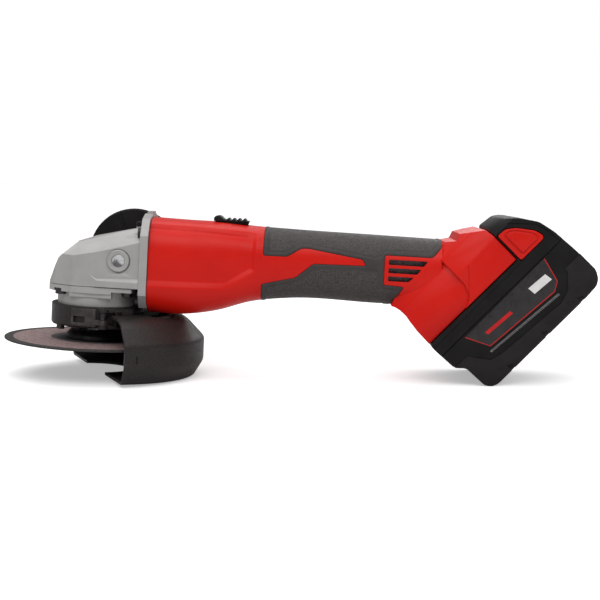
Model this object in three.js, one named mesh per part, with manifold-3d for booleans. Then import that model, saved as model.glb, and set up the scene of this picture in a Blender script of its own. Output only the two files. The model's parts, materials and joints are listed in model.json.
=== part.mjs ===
// Cordless angle grinder with a 125 mm cutting disc, a cutting guard and a side handle, in millimetres.
// Tool frame: origin at the disc's centre, +Z up the spindle, +X back along the body, +Y to the side handle.
// The tool group is then tipped onto its two resting edges, the guard's lip and the battery's low edge.
import * as THREE from 'three';
import { mergeVertices } from 'three/addons/utils/BufferGeometryUtils.js';
import Module from 'manifold-3d';

const wasm = await Module();
wasm.setup();

// ---- Clearances ----
const gap = 0.3;             // between pieces that touch
const running = 0.2;         // radial, a shaft in its bearing
const sliding = 0.5;         // around pieces that slide or swing
const small = 10;            // sides of screws, pins and their holes
const coarse = 18;           // sides of shafts, bearings and bosses
const fine = 36;             // sides of large round pieces

// ---- Disc, spindle and its nuts ----
const discRadius = 62.5;
const discThickness = 1.2;
const discBore = 11.1;
const noseRadius = 7;        // M14 spindle nose
const noseLength = 7.4;
const innerFlangeRadius = 21;
const innerFlangeHeight = 7;
const lockNutRadius = 19.5;
const lockNutHeight = 6;
const spindleJournal = 7.5;
const spindleTopRadius = 4;

// ---- Gear pair: straight bevels whose cones meet where the two axes cross ----
const motorAxisZ = 57;
const crownTeeth = 37;
const pinionTeeth = 11;
const crownRadius = 21;      // outer end of the teeth
const toothLength = 8.5;
const addendum = 0.9;
const dedendum = 1.25;
const crownSeatZ = 42.5;     // underside of the crown gear
const crownRimRadius = 24.2; // rim below the teeth, with the lock holes
const crownRimHeight = 4;
const pinionHub = 5.5;

// ---- Gear case and bearing plate ----
const caseHalfWidth = 31;
const caseFrontX = -32;
const caseBottomZ = 38.6;
const neckRadius = 27.6;
const flangeFrontX = 30.9;
const neckClearance = 3.2;   // from the neck to the rear flange
const flangeThickness = 5.3;
const flangeTopZ = 88.5;
const flangeBottomZ = 25.7;
const handleX = 16.9;        // threaded handle bosses, on the motor axis height
const bossRadius = 7.6;
const bossBore = 4.2;
const bossDepth = 13;
const bossFaceY = caseHalfWidth + 1.2;
const plateThickness = 4.3;
const bridgeDepth = 2.8;     // how far the plate's middle hangs below its rim
const neckBottomZ = 10.4;
const bearingRadius = 16;
const bearingWidth = 9;
const bearingSeatZ = 25.2;

// ---- Spindle lock ----
const lockButtonX = 27.2;
const lockStemRadius = 2.3;
const lockCapRadius = 3.3;
const lockPinRadius = 1.5;
const lockPinX = 17.9;
const lockPinY = 14.2;
const lockNotches = 6;
const lockCapBottom = 79.4;
const lockSpringSeat = 74.6;

// ---- Guard ----
const guardRadius = discRadius + 11.5;
const guardSheet = 1.8;
const guardTopZ = 20.4;
const guardLipZ = -21;
const guardLipRadius = discRadius + 5.5;
const guardShoulderRadius = discRadius + 0.5;
const guardLipInner = 25.5;
const guardStart = -67;      // degrees about the spindle, and a half turn on
const collarSheet = 3.3;
const collarBottomZ = 10.8;
const collarTopZ = 25.2;
const leverPinAngle = -75;
const leverSpan = 38;        // degrees of collar that the lever covers

// ---- Side handle ----
const handleGripRadius = 16.5;
const handleFlangeRadius = 32.6;
const handleFlangeY = 50;
const handleEndY = 160;
const studRadius = 4;

// ---- Motor ----
const statorRadius = 24;
const statorBore = 13.4;
const statorX = 56.5;
const statorLength = 28;
const windingReach = 5.5;
const statorSlots = 6;
const rotorRadius = 12.6;
const shaftRadius = 3.5;
const fanX = 40.5;
const fanWidth = 8;
const fanRadius = 23.5;
const fanBlades = 13;
const frontBearing = { x: 28.2, width: 8, outer: 11 };
const rearBearing = { x: 97, width: 7, outer: 9.5 };

// ---- Housing: body sections as x, top, bottom, half width, squareness ----
const housingWall = 2.8;
const rubberDepth = 2;
const ringSides = 24;
const housingFrontX = flangeFrontX + flangeThickness + gap;
const bodySections = [
  [housingFrontX, 86.2, 21.7, 32.6, 3.2],
  [60, 85.6, 21.6, 32.8, 3.2],
  [82, 85.4, 25.2, 31.8, 3.2],
  [106, 83.9, 32.6, 27.8, 2.8],
  [130, 83.2, 36, 25.4, 2.6],
  [190, 82.3, 36, 25.8, 2.7],
  [232, 81.6, 36, 28.6, 3],
];

// ---- Foot and battery: pack frame, p along the slide, q square to it and up into the foot ----
const packSlope = 48;        // degrees of the slide above the body's axis
const packX = 227.2;
const packZ = 14;
const footLength = 79;
const footHalfWidth = 37;
const packHalfWidth = 38;
const packWall = 2.6;
const packLowP = 8.6;        // the rounded low corner that the tool rests on
const packLowQ = -48.6;
const caseSplitQ = -27;
const railHalf = 19;
const railLipHalf = 22.5;
const railTopQ = 9;
const railLipQ = 6;
const railStartP = 13;
const bladeLength = 11;
const bladeThickness = 1;
const bladeYs = [-13.5, -4.5, 4.5, 13.5];
const cellRadius = 9.1;
const cellLength = 65;
const cellPitch = 19.2;
const cellColumns = 5;
const cellRowQs = [-17, -36.2];
const firstCellP = 19;
const latchThickness = 4;
const latchProud = 0.7;
const latchTravel = 2.5;
const gaugeQ = -14;

// ---- Slide switch ----
const sliderX = 77.5;
const sliderLength = 24;
const sliderHalfWidth = 8;
const sliderTravel = 7;
const stemX = 92;
const stemLength = 7;
const stemHalfWidth = 4;
const switchX = 122;
const switchRodZ = 79.6;     // top of the rod from the slider to the switch

const rad = THREE.MathUtils.degToRad;
const V = (x, y, z) => new THREE.Vector3(x, y, z);

// ---- Finishes: colour, roughness, metalness ----
const finishes = {
  redPlastic: ['#c9201c', 0.5, 0],
  rubber: ['#3c3838', 0.8, 0],
  castAluminium: ['#a5a3a0', 0.45, 0.9],
  steel: ['#8d8f92', 0.35, 1],
  darkSteel: ['#2d2b2b', 0.5, 0.8],
  blackPlastic: ['#1f1d1d', 0.55, 0],
  disc: ['#5d4644', 0.85, 0],
  copper: ['#b4693a', 0.4, 1],
  circuit: ['#24563a', 0.6, 0],
  cell: ['#3f6f9d', 0.5, 0],
  screen: ['#77777a', 0.6, 0.5],
};

// ---- Solids ----
function solidOf(geometry) {
  const bare = geometry.index ? geometry.toNonIndexed() : geometry.clone();
  const points = new THREE.BufferGeometry().setAttribute('position', bare.getAttribute('position'));
  const merged = mergeVertices(points, 1e-4);
  const corners = Array.from(merged.index.array);
  const build = (flip) => {
    const kept = [];
    for (let i = 0; i < corners.length; i += 3) {
      const [a, b, c] = corners.slice(i, i + 3);
      if (a !== b && b !== c && c !== a) kept.push(...(flip ? [a, c, b] : [a, b, c]));
    }
    const vertProperties = merged.attributes.position.array;
    return new wasm.Manifold(new wasm.Mesh({ numProp: 3, vertProperties, triVerts: new Uint32Array(kept) }));
  };
  const solid = build(false);
  return solid.volume() < 0 ? build(true) : solid;
}

function geometryOf(solid) {
  const { vertProperties, triVerts, numProp } = solid.getMesh();
  const positions = new Float32Array((vertProperties.length / numProp) * 3);
  for (let i = 0; i * numProp < vertProperties.length; i += 1) {
    positions.set(vertProperties.subarray(i * numProp, i * numProp + 3), i * 3);
  }
  const geometry = new THREE.BufferGeometry();
  geometry.setAttribute('position', new THREE.BufferAttribute(positions, 3));
  return geometry.setIndex(new THREE.BufferAttribute(new Uint32Array(triVerts), 1));
}

const placed = (solid, matrix) => solidOf(geometryOf(solid).applyMatrix4(matrix));
const moved = (solid, x, y, z) => placed(solid, new THREE.Matrix4().makeTranslation(x, y, z));
const spun = (solid, degrees) => placed(solid, new THREE.Matrix4().makeRotationZ(rad(degrees)));
const spunX = (solid, degrees) => placed(solid, new THREE.Matrix4().makeRotationX(rad(degrees)));
const mirroredY = (solid) => placed(solid, new THREE.Matrix4().makeScale(1, -1, 1));
const join = (...solids) => solids.reduce((sum, solid) => sum.add(solid));
const cut = (solid, ...tools) => tools.reduce((left, tool) => left.subtract(tool), solid);

// A local frame whose first two axes hold an outline and whose third is the extrusion.
const frames = {
  x: new THREE.Matrix4().makeBasis(V(0, 1, 0), V(0, 0, 1), V(1, 0, 0)),
  y: new THREE.Matrix4().makeBasis(V(1, 0, 0), V(0, 0, 1), V(0, 1, 0)),
  z: new THREE.Matrix4(),
};

function outline(points) {
  return new THREE.Shape(points.map(([a, b]) => new THREE.Vector2(a, b)));
}

function prism(axis, points, from, to) {
  const geometry = new THREE.ExtrudeGeometry(outline(points), { depth: to - from, bevelEnabled: false });
  return solidOf(geometry.translate(0, 0, from).applyMatrix4(frames[axis]));
}

// A turned piece: the profile is radius, distance along the axis. It closes on itself or on the axis.
function turned(axis, profile, sides = fine) {
  const onAxis = profile[0][0] === 0;
  const points = (onAxis ? profile : [...profile, profile[0]]).map(([r, d]) => new THREE.Vector2(r, d));
  const geometry = new THREE.LatheGeometry(points, sides).rotateX(Math.PI / 2);
  return solidOf(geometry.applyMatrix4(frames[axis]));
}

const rod = (axis, r, from, to, sides = coarse) =>
  turned(axis, [[0, from], [r, from], [r, to], [0, to]], sides);

function tube(axis, inner, outer, from, to, sides = coarse) {
  return turned(axis, [[inner, from], [outer, from], [outer, to], [inner, to]], sides);
}

function box(x0, x1, y0, y1, z0, z1) {
  const geometry = new THREE.BoxGeometry(x1 - x0, y1 - y0, z1 - z0);
  return solidOf(geometry.translate((x0 + x1) / 2, (y0 + y1) / 2, (z0 + z1) / 2));
}

// A skin over rings of equal length. Open ends are closed with a flat cap; a looped loft has none.
function loft(rings, looped = false) {
  const count = rings[0].length;
  const triangles = [];
  const strips = looped ? rings.length : rings.length - 1;
  for (let k = 0; k < strips; k += 1) {
    const a = rings[k];
    const b = rings[(k + 1) % rings.length];
    for (let i = 0; i < count; i += 1) {
      const j = (i + 1) % count;
      triangles.push(a[i], a[j], b[j], a[i], b[j], b[i]);
    }
  }
  if (!looped) {
    [rings[0], rings[rings.length - 1]].forEach((ring, end) => {
      const middle = ring.reduce((sum, point) => sum.add(point), V(0, 0, 0)).divideScalar(count);
      ring.forEach((point, i) => {
        const next = ring[(i + 1) % count];
        triangles.push(...(end ? [middle, point, next] : [middle, next, point]));
      });
    });
  }
  return solidOf(new THREE.BufferGeometry().setFromPoints(triangles));
}

function add(group, name, solid, finish) {
  const [color, roughness, metalness] = finishes[finish];
  const material = new THREE.MeshStandardMaterial({ color, roughness, metalness });
  const mesh = new THREE.Mesh(geometryOf(solid), material);
  mesh.name = name;
  group.add(mesh);
}

// ---- Bevel gears ----
const pinionPitch = (crownRadius * pinionTeeth) / crownTeeth;
const toothPitch = (2 * Math.PI * pinionPitch) / pinionTeeth;
const innerScale = (crownRadius - toothLength) / crownRadius;
const toothShares = [[-0.29, 0], [-0.12, 1], [0.12, 1], [0.29, 0]]; // share of the pitch, root or tip

// Corner angles and heights of every tooth at the outer end, height measured from the pitch line.
function toothCorners(teeth, pitchRadius, firstAngle) {
  const corners = [];
  for (let tooth = 0; tooth < teeth; tooth += 1) {
    const middle = firstAngle + (tooth * 2 * Math.PI) / teeth;
    toothShares.forEach(([share, tip]) => {
      const angle = middle + (share * toothPitch) / pitchRadius;
      corners.push({ angle, height: tip ? addendum : -dedendum });
    });
  }
  return corners;
}

function crownGear() {
  const corners = toothCorners(crownTeeth, crownRadius, Math.PI / crownTeeth);
  const pitchZ = motorAxisZ - pinionPitch;
  const innerRadius = crownRadius - toothLength;
  const ring = (radius, heightOf) => corners.map(({ angle, height }) =>
    V(radius * Math.cos(angle), radius * Math.sin(angle), heightOf(height)));
  const innerHeight = (height) => motorAxisZ - (pinionPitch - height) * innerScale;
  const hubZ = innerHeight(-dedendum) - 0.4;
  const rimZ = crownSeatZ + crownRimHeight;
  const teeth = loft([
    ring(crownRadius, () => rimZ - 1),
    ring(crownRadius, (height) => pitchZ + height),
    ring(innerRadius, innerHeight),
    ring(innerRadius, () => rimZ - 1),
  ], true);
  const bore = noseRadius + gap;
  const blank = turned('z', [[bore, crownSeatZ], [crownRimRadius, crownSeatZ], [crownRimRadius, rimZ],
    [innerRadius + 1, rimZ], [innerRadius + 1, hubZ], [bore, hubZ]]);
  const lockRadius = Math.hypot(lockPinX, lockPinY);
  const lockAngle = THREE.MathUtils.radToDeg(Math.atan2(lockPinY, lockPinX));
  const notch = moved(rod('z', lockPinRadius + sliding, crownSeatZ - 1, rimZ + 1, small), lockRadius, 0, 0);
  const notches = Array.from({ length: lockNotches }, (_, i) =>
    spun(notch, lockAngle + (i * 360) / lockNotches));
  return cut(join(blank, teeth), ...notches);
}

function pinionGear() {
  const corners = toothCorners(pinionTeeth, pinionPitch, -Math.PI / 2);
  const at = (x, radius, angle) => V(x, radius * Math.cos(angle), motorAxisZ + radius * Math.sin(angle));
  const toothed = (x, scale) => corners.map(({ angle, height }) =>
    at(x, (pinionPitch + height) * scale, angle));
  const round = (x, radius) => corners.map(({ angle }) => at(x, radius, angle));
  const hubRadius = pinionPitch - dedendum;
  const shaftEnd = crownRadius - toothLength / 2 + 1;
  return loft([
    toothed(crownRadius - toothLength, innerScale),
    toothed(crownRadius, 1),
    round(crownRadius, hubRadius + 0.2),
    round(crownRadius + pinionHub, hubRadius + 0.2),
    round(crownRadius + pinionHub, shaftRadius + gap / 2),
    round(shaftEnd, shaftRadius * 0.85 + gap / 2),
  ]);
}

// ---- Gear case ----
const caseSide = [
  [caseFrontX, caseBottomZ], [flangeFrontX + 1, caseBottomZ], [flangeFrontX + 1, 79.6],
  [-3.6, 71.2], [-12.7, 68.1], [-24.6, 56.6], [caseFrontX + 0.3, 40.4],
];
const casePlan = [
  [caseFrontX, -11], [caseFrontX, 11], [-26.6, 20], [-14, 27.5], [2, 30], [flangeFrontX + 1, caseHalfWidth],
  [flangeFrontX + 1, -caseHalfWidth], [2, -30], [-14, -27.5], [-26.6, -20],
];
const roofHalf = 12;         // half width of the flat roof between the sloping shoulders

// The shoulders: sloping planes from the roof's edge down to the crease along each side.
function caseShoulders() {
  const shoulder = loft([
    [V(-60, -roofHalf, 54), V(-60, -roofHalf, 90), V(-60, -60, 90), V(-60, -60, 28)],
    [V(50, -roofHalf, 85.6), V(50, -roofHalf, 120), V(50, -60, 120), V(50, -60, 59.6)],
  ]);
  return join(shoulder, mirroredY(shoulder));
}

function handleBoss(side) {
  const start = side * (caseHalfWidth - 6);
  const end = side * bossFaceY;
  const boss = turned('y', [[0, start], [bossRadius, start], [bossRadius, end - side], [bossRadius - 1, end],
    [0, end]], coarse);
  return moved(boss, handleX, 0, motorAxisZ);
}

function handleSocket(side) {
  const end = side * (caseHalfWidth + 2);
  const mouth = side * (caseHalfWidth + 0.4);
  const floor = side * (bossFaceY - bossDepth);
  const profile = [[0, end], [bossBore + 0.9, end], [bossBore, mouth], [bossBore, floor], [0, floor]];
  return moved(turned('y', profile, coarse), handleX, 0, motorAxisZ);
}

function rearFlange() {
  const half = caseHalfWidth + 1.6;
  const back = flangeFrontX + flangeThickness;
  const plate = prism('x', [
    [-half, flangeBottomZ + 9], [-half + 8, flangeBottomZ],
    [half - 8, flangeBottomZ], [half, flangeBottomZ + 9],
    [half, flangeTopZ - 14], [half - 9, flangeTopZ - 3], [10, flangeTopZ], [-10, flangeTopZ],
    [-half + 9, flangeTopZ - 3], [-half, flangeTopZ - 14],
  ], flangeFrontX, back);
  const lug = prism('y', [[flangeFrontX, flangeTopZ - 4], [back, flangeTopZ - 4], [back, 90.2],
    [flangeFrontX + 1.5, 90.2]], -7, 7);
  return join(plate, lug);
}

const flangeScrewY = 22.5;
const flangeHeadRadius = 3.8;
const flangeScrewZs = [29.9, 76];
const plateScrewRadius = 2.1;
const plateScrewXs = [-22.5, 22];
const plateScrewY = 18.5;

function gearCase() {
  const shell = prism('y', caseSide, -40, 40)
    .intersect(prism('z', casePlan, 30, 100))
    .subtract(caseShoulders());
  const cavity = join(
    turned('z', [[0, caseBottomZ - 1], [crownRimRadius + 0.8, caseBottomZ - 1], [crownRimRadius + 0.8, 47.5],
      [crownRadius + 0.9, 48], [crownRadius + 0.9, 52.5], [10, 60], [0, 60]]),
    rod('z', 6.6, 55, 66.6),
    moved(rod('x', 9.2, 2, 50), 0, 0, motorAxisZ),
    moved(rod('x', frontBearing.outer + gap, frontBearing.x - gap, 50, fine), 0, 0, motorAxisZ),
    box(13, 30, -4, lockPinY + 3, 60, 71.6),
    moved(rod('z', lockPinRadius + 1, 45, 68), lockPinX, lockPinY, 0),
    moved(rod('z', lockStemRadius + gap, 68, 90), lockButtonX, 0, 0),
    moved(rod('z', lockCapRadius + gap, lockSpringSeat, 90), lockButtonX, 0, 0),
  );
  const screws = flangeScrewZs.flatMap((z) => [-1, 1].map((side) =>
    moved(rod('x', 2.6, flangeFrontX - 1, 40, small), 0, side * flangeScrewY, z)));
  const headPockets = flangeScrewZs.flatMap((z) => [-1, 1].map((side) =>
    moved(rod('x', flangeHeadRadius + sliding, 10, flangeFrontX + 1.5, small), 0,
      side * flangeScrewY, z)));
  const plateHoles = plateScrewXs.flatMap((x) => [-1, 1].map((side) =>
    moved(rod('z', plateScrewRadius + gap, 30, 50, small), x, side * plateScrewY, 0)));
  const neckWay = rod('z', neckRadius + neckClearance, neckBottomZ, caseBottomZ - gap, fine);
  const body = join(shell, rearFlange(), handleBoss(-1), handleBoss(1));
  return cut(body, cavity, neckWay, handleSocket(-1), handleSocket(1), ...screws, ...headPockets,
    ...plateHoles);
}

// The bearing plate closes the gear case, and its neck carries the guard's collar.
function bearingPlate() {
  const top = caseBottomZ - gap;
  const bottom = top - plateThickness;
  const thinned = box(13, 50, -50, 50, 0, bottom + 1.6);
  const end = box(26.4, 50, -50, 50, 0, 90);
  const sheet = cut(prism('z', casePlan, bottom, top), end, thinned);
  const bridgePlan = [[-15.6, -26.8], [13, -29.6], [13, 29.6], [-15.6, 26.8]];
  const bridge = prism('z', bridgePlan, bottom - bridgeDepth, bottom + 1);
  const neck = rod('z', neckRadius, neckBottomZ, bottom + 1, fine);
  const seat = rod('z', bearingRadius + gap, bearingSeatZ, top + 1, fine);
  const throat = rod('z', innerFlangeRadius - 8, 0, bearingSeatZ + 1, fine);
  const notches = plateScrewXs.flatMap((x) => [-1, 1].map((side) =>
    moved(rod('z', 4.6, bottom - 5, bottom + 2, small), x, side * plateScrewY, 0)));
  const holes = plateScrewXs.flatMap((x) => [-1, 1].map((side) =>
    moved(rod('z', plateScrewRadius + gap, 20, 50, small), x, side * plateScrewY, 0)));
  return cut(join(sheet, bridge, neck), seat, throat, ...notches, ...holes);
}

function plateScrew() {
  const seat = caseBottomZ - gap - plateThickness + 2;
  return turned('z', [[0, seat - 4], [3.9, seat - 4], [3.9, seat - gap], [plateScrewRadius, seat - gap],
    [plateScrewRadius, seat + 11], [0, seat + 11]], small);
}

function flangeScrew() {
  const seat = flangeFrontX + 1.5;
  return turned('x', [[0, seat - 4], [flangeHeadRadius, seat - 4], [flangeHeadRadius, seat - gap],
    [2.2, seat - gap], [2.2, housingFrontX + 12], [0, housingFrontX + 12]], small);
}

// ---- Spindle group ----
function spindle() {
  return turned('z', [[0, -noseLength], [noseRadius - 1, -noseLength], [noseRadius, -noseLength + 1],
    [noseRadius, innerFlangeHeight + 1.5], [9.5, innerFlangeHeight + 1.5], [9.5, bearingSeatZ - 1.5],
    [spindleJournal, bearingSeatZ - 1.5], [spindleJournal, crownSeatZ - 2.5], [9, crownSeatZ - 2.5],
    [9, crownSeatZ - gap], [noseRadius, crownSeatZ - gap], [noseRadius, 50], [spindleTopRadius, 51.5],
    [spindleTopRadius, 66], [0, 66]], coarse);
}

function innerFlange() {
  const top = innerFlangeHeight;
  const bottom = discThickness / 2 + gap;
  return turned('z', [[noseRadius + gap, bottom], [innerFlangeRadius, bottom],
    [innerFlangeRadius, bottom + 3], [innerFlangeRadius - 3, top], [noseRadius + gap, top]], fine);
}

function cuttingDisc() {
  return tube('z', discBore, discRadius, -discThickness / 2, discThickness / 2, 64);
}

function lockNut() {
  const top = -discThickness / 2 - gap;
  const nut = turned('z', [[noseRadius + gap, top - lockNutHeight], [lockNutRadius - 3, top - lockNutHeight],
    [lockNutRadius, top - lockNutHeight + 3], [lockNutRadius, top], [noseRadius + gap, top]], fine);
  const spannerHoles = [0, 90, 180, 270].map((angle) =>
    spun(moved(rod('z', 2.5, top - 9, top - 2.5, 12), 13, 0, 0), angle));
  return cut(nut, ...spannerHoles);
}

function bearing(axis, inner, outer, from, width) {
  const to = from + width;
  const race = (outer - inner) * 0.3;
  return turned(axis, [[inner, from], [outer, from], [outer, to], [outer - race, to], [outer - race, to - 1],
    [inner + race, to - 1], [inner + race, to], [inner, to]], 20);
}

// ---- Spindle lock ----
function spindleLockButton() {
  const armTop = 71.2;
  const armBottom = 68.2;
  const armEnd = frontBearing.x - 0.7;
  const rim = lockCapRadius;
  const cap = turned('z', [[0, 70.8], [lockStemRadius, 70.8], [lockStemRadius, lockCapBottom],
    [rim, lockCapBottom], [rim, lockCapBottom + 2.6], [rim - 0.8, lockCapBottom + 3.4],
    [0, lockCapBottom + 3.4]], coarse);
  const arm = prism('z', [[armEnd - 6, -3], [armEnd, -3], [armEnd, 2], [lockPinX + 2.5, lockPinY + 1.5],
    [lockPinX - 2, lockPinY + 2]], armBottom, armTop);
  const pin = moved(rod('z', lockPinRadius, crownSeatZ + crownRimHeight + 0.8, armTop - 0.5, small),
    lockPinX, lockPinY, 0);
  return join(moved(cap, lockButtonX, 0, 0), arm, pin);
}

// A spring's solid: the space its coils fill.
function spindleLockSpring() {
  const coil = tube('z', lockStemRadius + gap, lockCapRadius - 0.1, lockSpringSeat + gap, lockCapBottom - gap);
  return moved(coil, lockButtonX, 0, 0);
}

// ---- Guard ----
const collarInner = neckRadius + sliding;
const collarOuter = collarInner + collarSheet;

function guardHalf() {
  const keep = box(-100, 100, 0, 100, -60, 60);
  return spun(keep, guardStart);
}

function guardShell() {
  const inner = collarOuter + gap;
  const t = guardSheet;
  const shoulder = guardShoulderRadius;
  const outerSide = [[inner, guardTopZ], [shoulder - 10, guardTopZ], [shoulder, guardTopZ - 4.2],
    [guardRadius - 0.9, 5.8], [guardRadius, 4.6], [guardRadius, -10.4], [guardLipRadius, guardLipZ],
    [guardLipInner, guardLipZ]];
  const innerSide = [[guardLipInner, guardLipZ + t], [guardLipRadius - 1.1, guardLipZ + t],
    [guardRadius - t, -10], [guardRadius - t, 4], [guardRadius - t - 0.5, 5],
    [shoulder - 0.9, guardTopZ - t - 4], [shoulder - 10.4, guardTopZ - t], [inner, guardTopZ - t]];
  const blockWay = sector(inner - 1, collarOuter + 4 + sliding, leverPinAngle - 8, leverPinAngle + 37, 0, 30);
  return cut(turned('z', [...outerSide, ...innerSide], 56).intersect(guardHalf()), blockWay);
}

const leverPinRadius = 1.5;
const leverPinReach = collarOuter + 3.4;
const earRadius = 3.2;
const collarSwing = leverPinReach + earRadius + sliding;   // clear of the ears as the guard turns
const leverLow = collarBottomZ + 1.4;
const leverHigh = collarTopZ - 0.6;
const earThickness = 2.4;
const earDrop = 1.2;         // how far the lower ear hangs below the lever's plate
const lowerEarTop = leverLow + earThickness - earDrop;
const leverEyeHeight = 3.4;
const onCollar = (radius, degrees) => [radius * Math.cos(rad(degrees)), radius * Math.sin(rad(degrees))];
const [leverPinX, leverPinY] = onCollar(leverPinReach, leverPinAngle);

function sector(inner, outer, from, to, low, high) {
  const steps = Math.ceil((to - from) / 7);
  const angles = Array.from({ length: steps + 1 }, (_, i) => from + ((to - from) * i) / steps);
  const outside = angles.map((a) => onCollar(outer, a));
  const inside = angles.reverse().map((a) => onCollar(inner, a));
  return prism('z', [...outside, ...inside], low, high);
}

function guardCollar() {
  const ring = tube('z', collarInner, collarOuter, collarBottomZ, collarTopZ, fine);
  const clampBlock = sector(collarOuter - 1, collarOuter + 4, leverPinAngle + 13, leverPinAngle + 36,
    collarBottomZ, collarTopZ - 0.8);
  const earLevels = [[leverLow - earDrop, lowerEarTop], [leverHigh - earThickness, leverHigh]];
  const ears = earLevels.map(([low, high]) =>
    join(sector(collarOuter - 1, collarOuter + 4, leverPinAngle - 3, leverPinAngle + 14, low, high),
      moved(rod('z', earRadius, low, high), leverPinX, leverPinY, 0)));
  const pinHole = moved(rod('z', leverPinRadius + running, 0, 40), leverPinX, leverPinY, 0);
  return cut(join(ring, clampBlock, ...ears), pinHole);
}

function guardLever() {
  const low = lowerEarTop + gap;
  const high = leverHigh - earThickness - gap;
  const eyeTop = low + leverEyeHeight;
  const eye = moved(rod('z', 2.9, low, eyeTop), leverPinX, leverPinY, 0);
  const neck = sector(collarOuter + gap, collarOuter + 4, leverPinAngle - 12, leverPinAngle - 1, low, eyeTop);
  const blade = sector(collarOuter + gap, collarOuter + 2.2, leverPinAngle - leverSpan, leverPinAngle - 8,
    leverLow, leverHigh - 0.5);
  const thumbEdge = sector(collarOuter + gap, collarOuter + 4, leverPinAngle - 12, leverPinAngle - 9,
    leverLow, leverHigh - 0.5);
  const bladeTip = leverPinAngle - leverSpan;
  const window = sector(collarOuter, collarOuter + 6, bladeTip + 3, bladeTip + 14, low + 1, high - 3);
  const hole = moved(rod('z', leverPinRadius + running, 0, 40), leverPinX, leverPinY, 0);
  return cut(join(eye, neck, blade, thumbEdge), window, hole);
}

function guardLeverPin() {
  const headTop = leverLow - earDrop - gap;
  const pin = turned('z', [[0, headTop - 1.7], [2.4, headTop - 1.7], [2.4, headTop],
    [leverPinRadius, headTop], [leverPinRadius, leverHigh + 0.6], [0, leverHigh + 0.6]], 16);
  return moved(pin, leverPinX, leverPinY, 0);
}

function guardLeverSpring() {
  const low = lowerEarTop + gap + leverEyeHeight + gap;
  const high = leverHigh - earThickness - gap;
  return moved(tube('z', leverPinRadius + gap, 2.6, low, high, 16), leverPinX, leverPinY, 0);
}

// ---- Side handle ----
function sideHandleGrip() {
  const start = bossFaceY + gap;
  const r = handleGripRadius;
  const profile = [[studRadius + gap, start], [11, start], [12.5, handleFlangeY - 6], [15, handleFlangeY],
    [handleFlangeRadius, handleFlangeY + 1], [handleFlangeRadius, handleFlangeY + 4], [17, handleFlangeY + 7],
    [r - 1.5, handleFlangeY + 16], [r + 0.4, handleFlangeY + 50], [r - 2.3, handleEndY - 24],
    [r - 1.8, handleEndY - 14], [r + 2, handleEndY - 5], [r + 0.6, handleEndY - 1], [r - 5, handleEndY],
    [0, handleEndY], [0, handleFlangeY + 26], [studRadius + gap, handleFlangeY + 26]];
  const closed = [[0, handleFlangeY + 26], [studRadius + gap, handleFlangeY + 26], ...profile.slice(0, -2)];
  return moved(turned('y', closed, 28), handleX, 0, motorAxisZ);
}

function sideHandleStud() {
  const start = bossFaceY - bossDepth + 1;
  return moved(rod('y', bossBore - running, start, handleFlangeY + 25.5), handleX, 0, motorAxisZ);
}

// ---- Motor ----
const statorEnd = statorX + statorLength;
const slotRadius = 2.3;
const slotCentre = (statorBore + statorRadius) / 2;

function statorCore() {
  const core = tube('x', statorBore, statorRadius, statorX, statorEnd, fine);
  const slot = moved(rod('x', slotRadius + gap, statorX - 1, statorEnd + 1, 8), 0, 0, slotCentre);
  const slots = Array.from({ length: statorSlots }, (_, i) => spunX(slot, (i * 360) / statorSlots));
  return moved(cut(core, ...slots), 0, 0, motorAxisZ);
}

function statorWindings() {
  const starts = [statorX - gap - windingReach, statorEnd + gap];
  const ends = starts.map((from) => [from, from + windingReach]);
  const rings = ends.map(([from, to]) => turned('x', [[statorBore + 1, from + 1.2], [statorBore + 2.5, from],
    [statorRadius - 3.5, from], [statorRadius - 2, from + 1.2], [statorRadius - 2, to - 0.2],
    [statorBore + 1, to - 0.2]], 26));
  const bar = moved(rod('x', slotRadius, statorX - 1, statorEnd + 1, 8), 0, 0, slotCentre);
  const bars = Array.from({ length: statorSlots }, (_, i) => spunX(bar, (i * 360) / statorSlots));
  return moved(join(...rings, ...bars), 0, 0, motorAxisZ);
}

function motorShaft() {
  const tip = crownRadius - toothLength / 2 + 1 + gap;
  const tail = rearBearing.x + rearBearing.width + 1;
  const seat = shaftRadius - gap / 2;
  const shaft = turned('x', [[0, tip], [seat * 0.85, tip], [seat, crownRadius + pinionHub - 1],
    [seat, frontBearing.x + frontBearing.width + 1], [shaftRadius + 0.5, fanX - 2],
    [shaftRadius + 0.5, statorEnd + 8], [shaftRadius - 0.5, statorEnd + 8.5],
    [shaftRadius - 0.5, tail], [0, tail]], coarse);
  return moved(shaft, 0, 0, motorAxisZ);
}

function rotor() {
  const bore = shaftRadius + 0.5 + gap;
  const core = tube('x', bore, rotorRadius, statorX - 1, statorEnd + 1);
  const slot = box(statorX - 2, statorEnd + 2, -4.5, 4.5, 7.6, 10);
  const magnets = [0, 90, 180, 270].map((angle) => spunX(slot, angle + 45));
  return moved(cut(core, ...magnets), 0, 0, motorAxisZ);
}

function coolingFan() {
  const bore = shaftRadius + 0.5 + gap;
  const hub = tube('x', bore, 9, fanX, fanX + fanWidth);
  const plate = tube('x', bore, fanRadius, fanX + fanWidth - 1.6, fanX + fanWidth, 30);
  const blade = box(fanX, fanX + fanWidth - 1, 8, fanRadius - 0.5, -0.7, 0.7);
  const blades = Array.from({ length: fanBlades }, (_, i) => spunX(blade, (i * 360) / fanBlades));
  return moved(join(hub, plate, ...blades), 0, 0, motorAxisZ);
}

// A ring that keeps the fan's air from running back past the motor.
function fanBaffle() {
  const front = fanX + fanWidth + 0.7;
  return moved(tube('x', 17, statorRadius, front, front + 1.1), 0, 0, motorAxisZ);
}

function sensorBoard() {
  const from = statorEnd + gap + windingReach + 0.4;
  return moved(tube('x', shaftRadius + 2, 20, from, from + 1.4), 0, 0, motorAxisZ);
}

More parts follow.
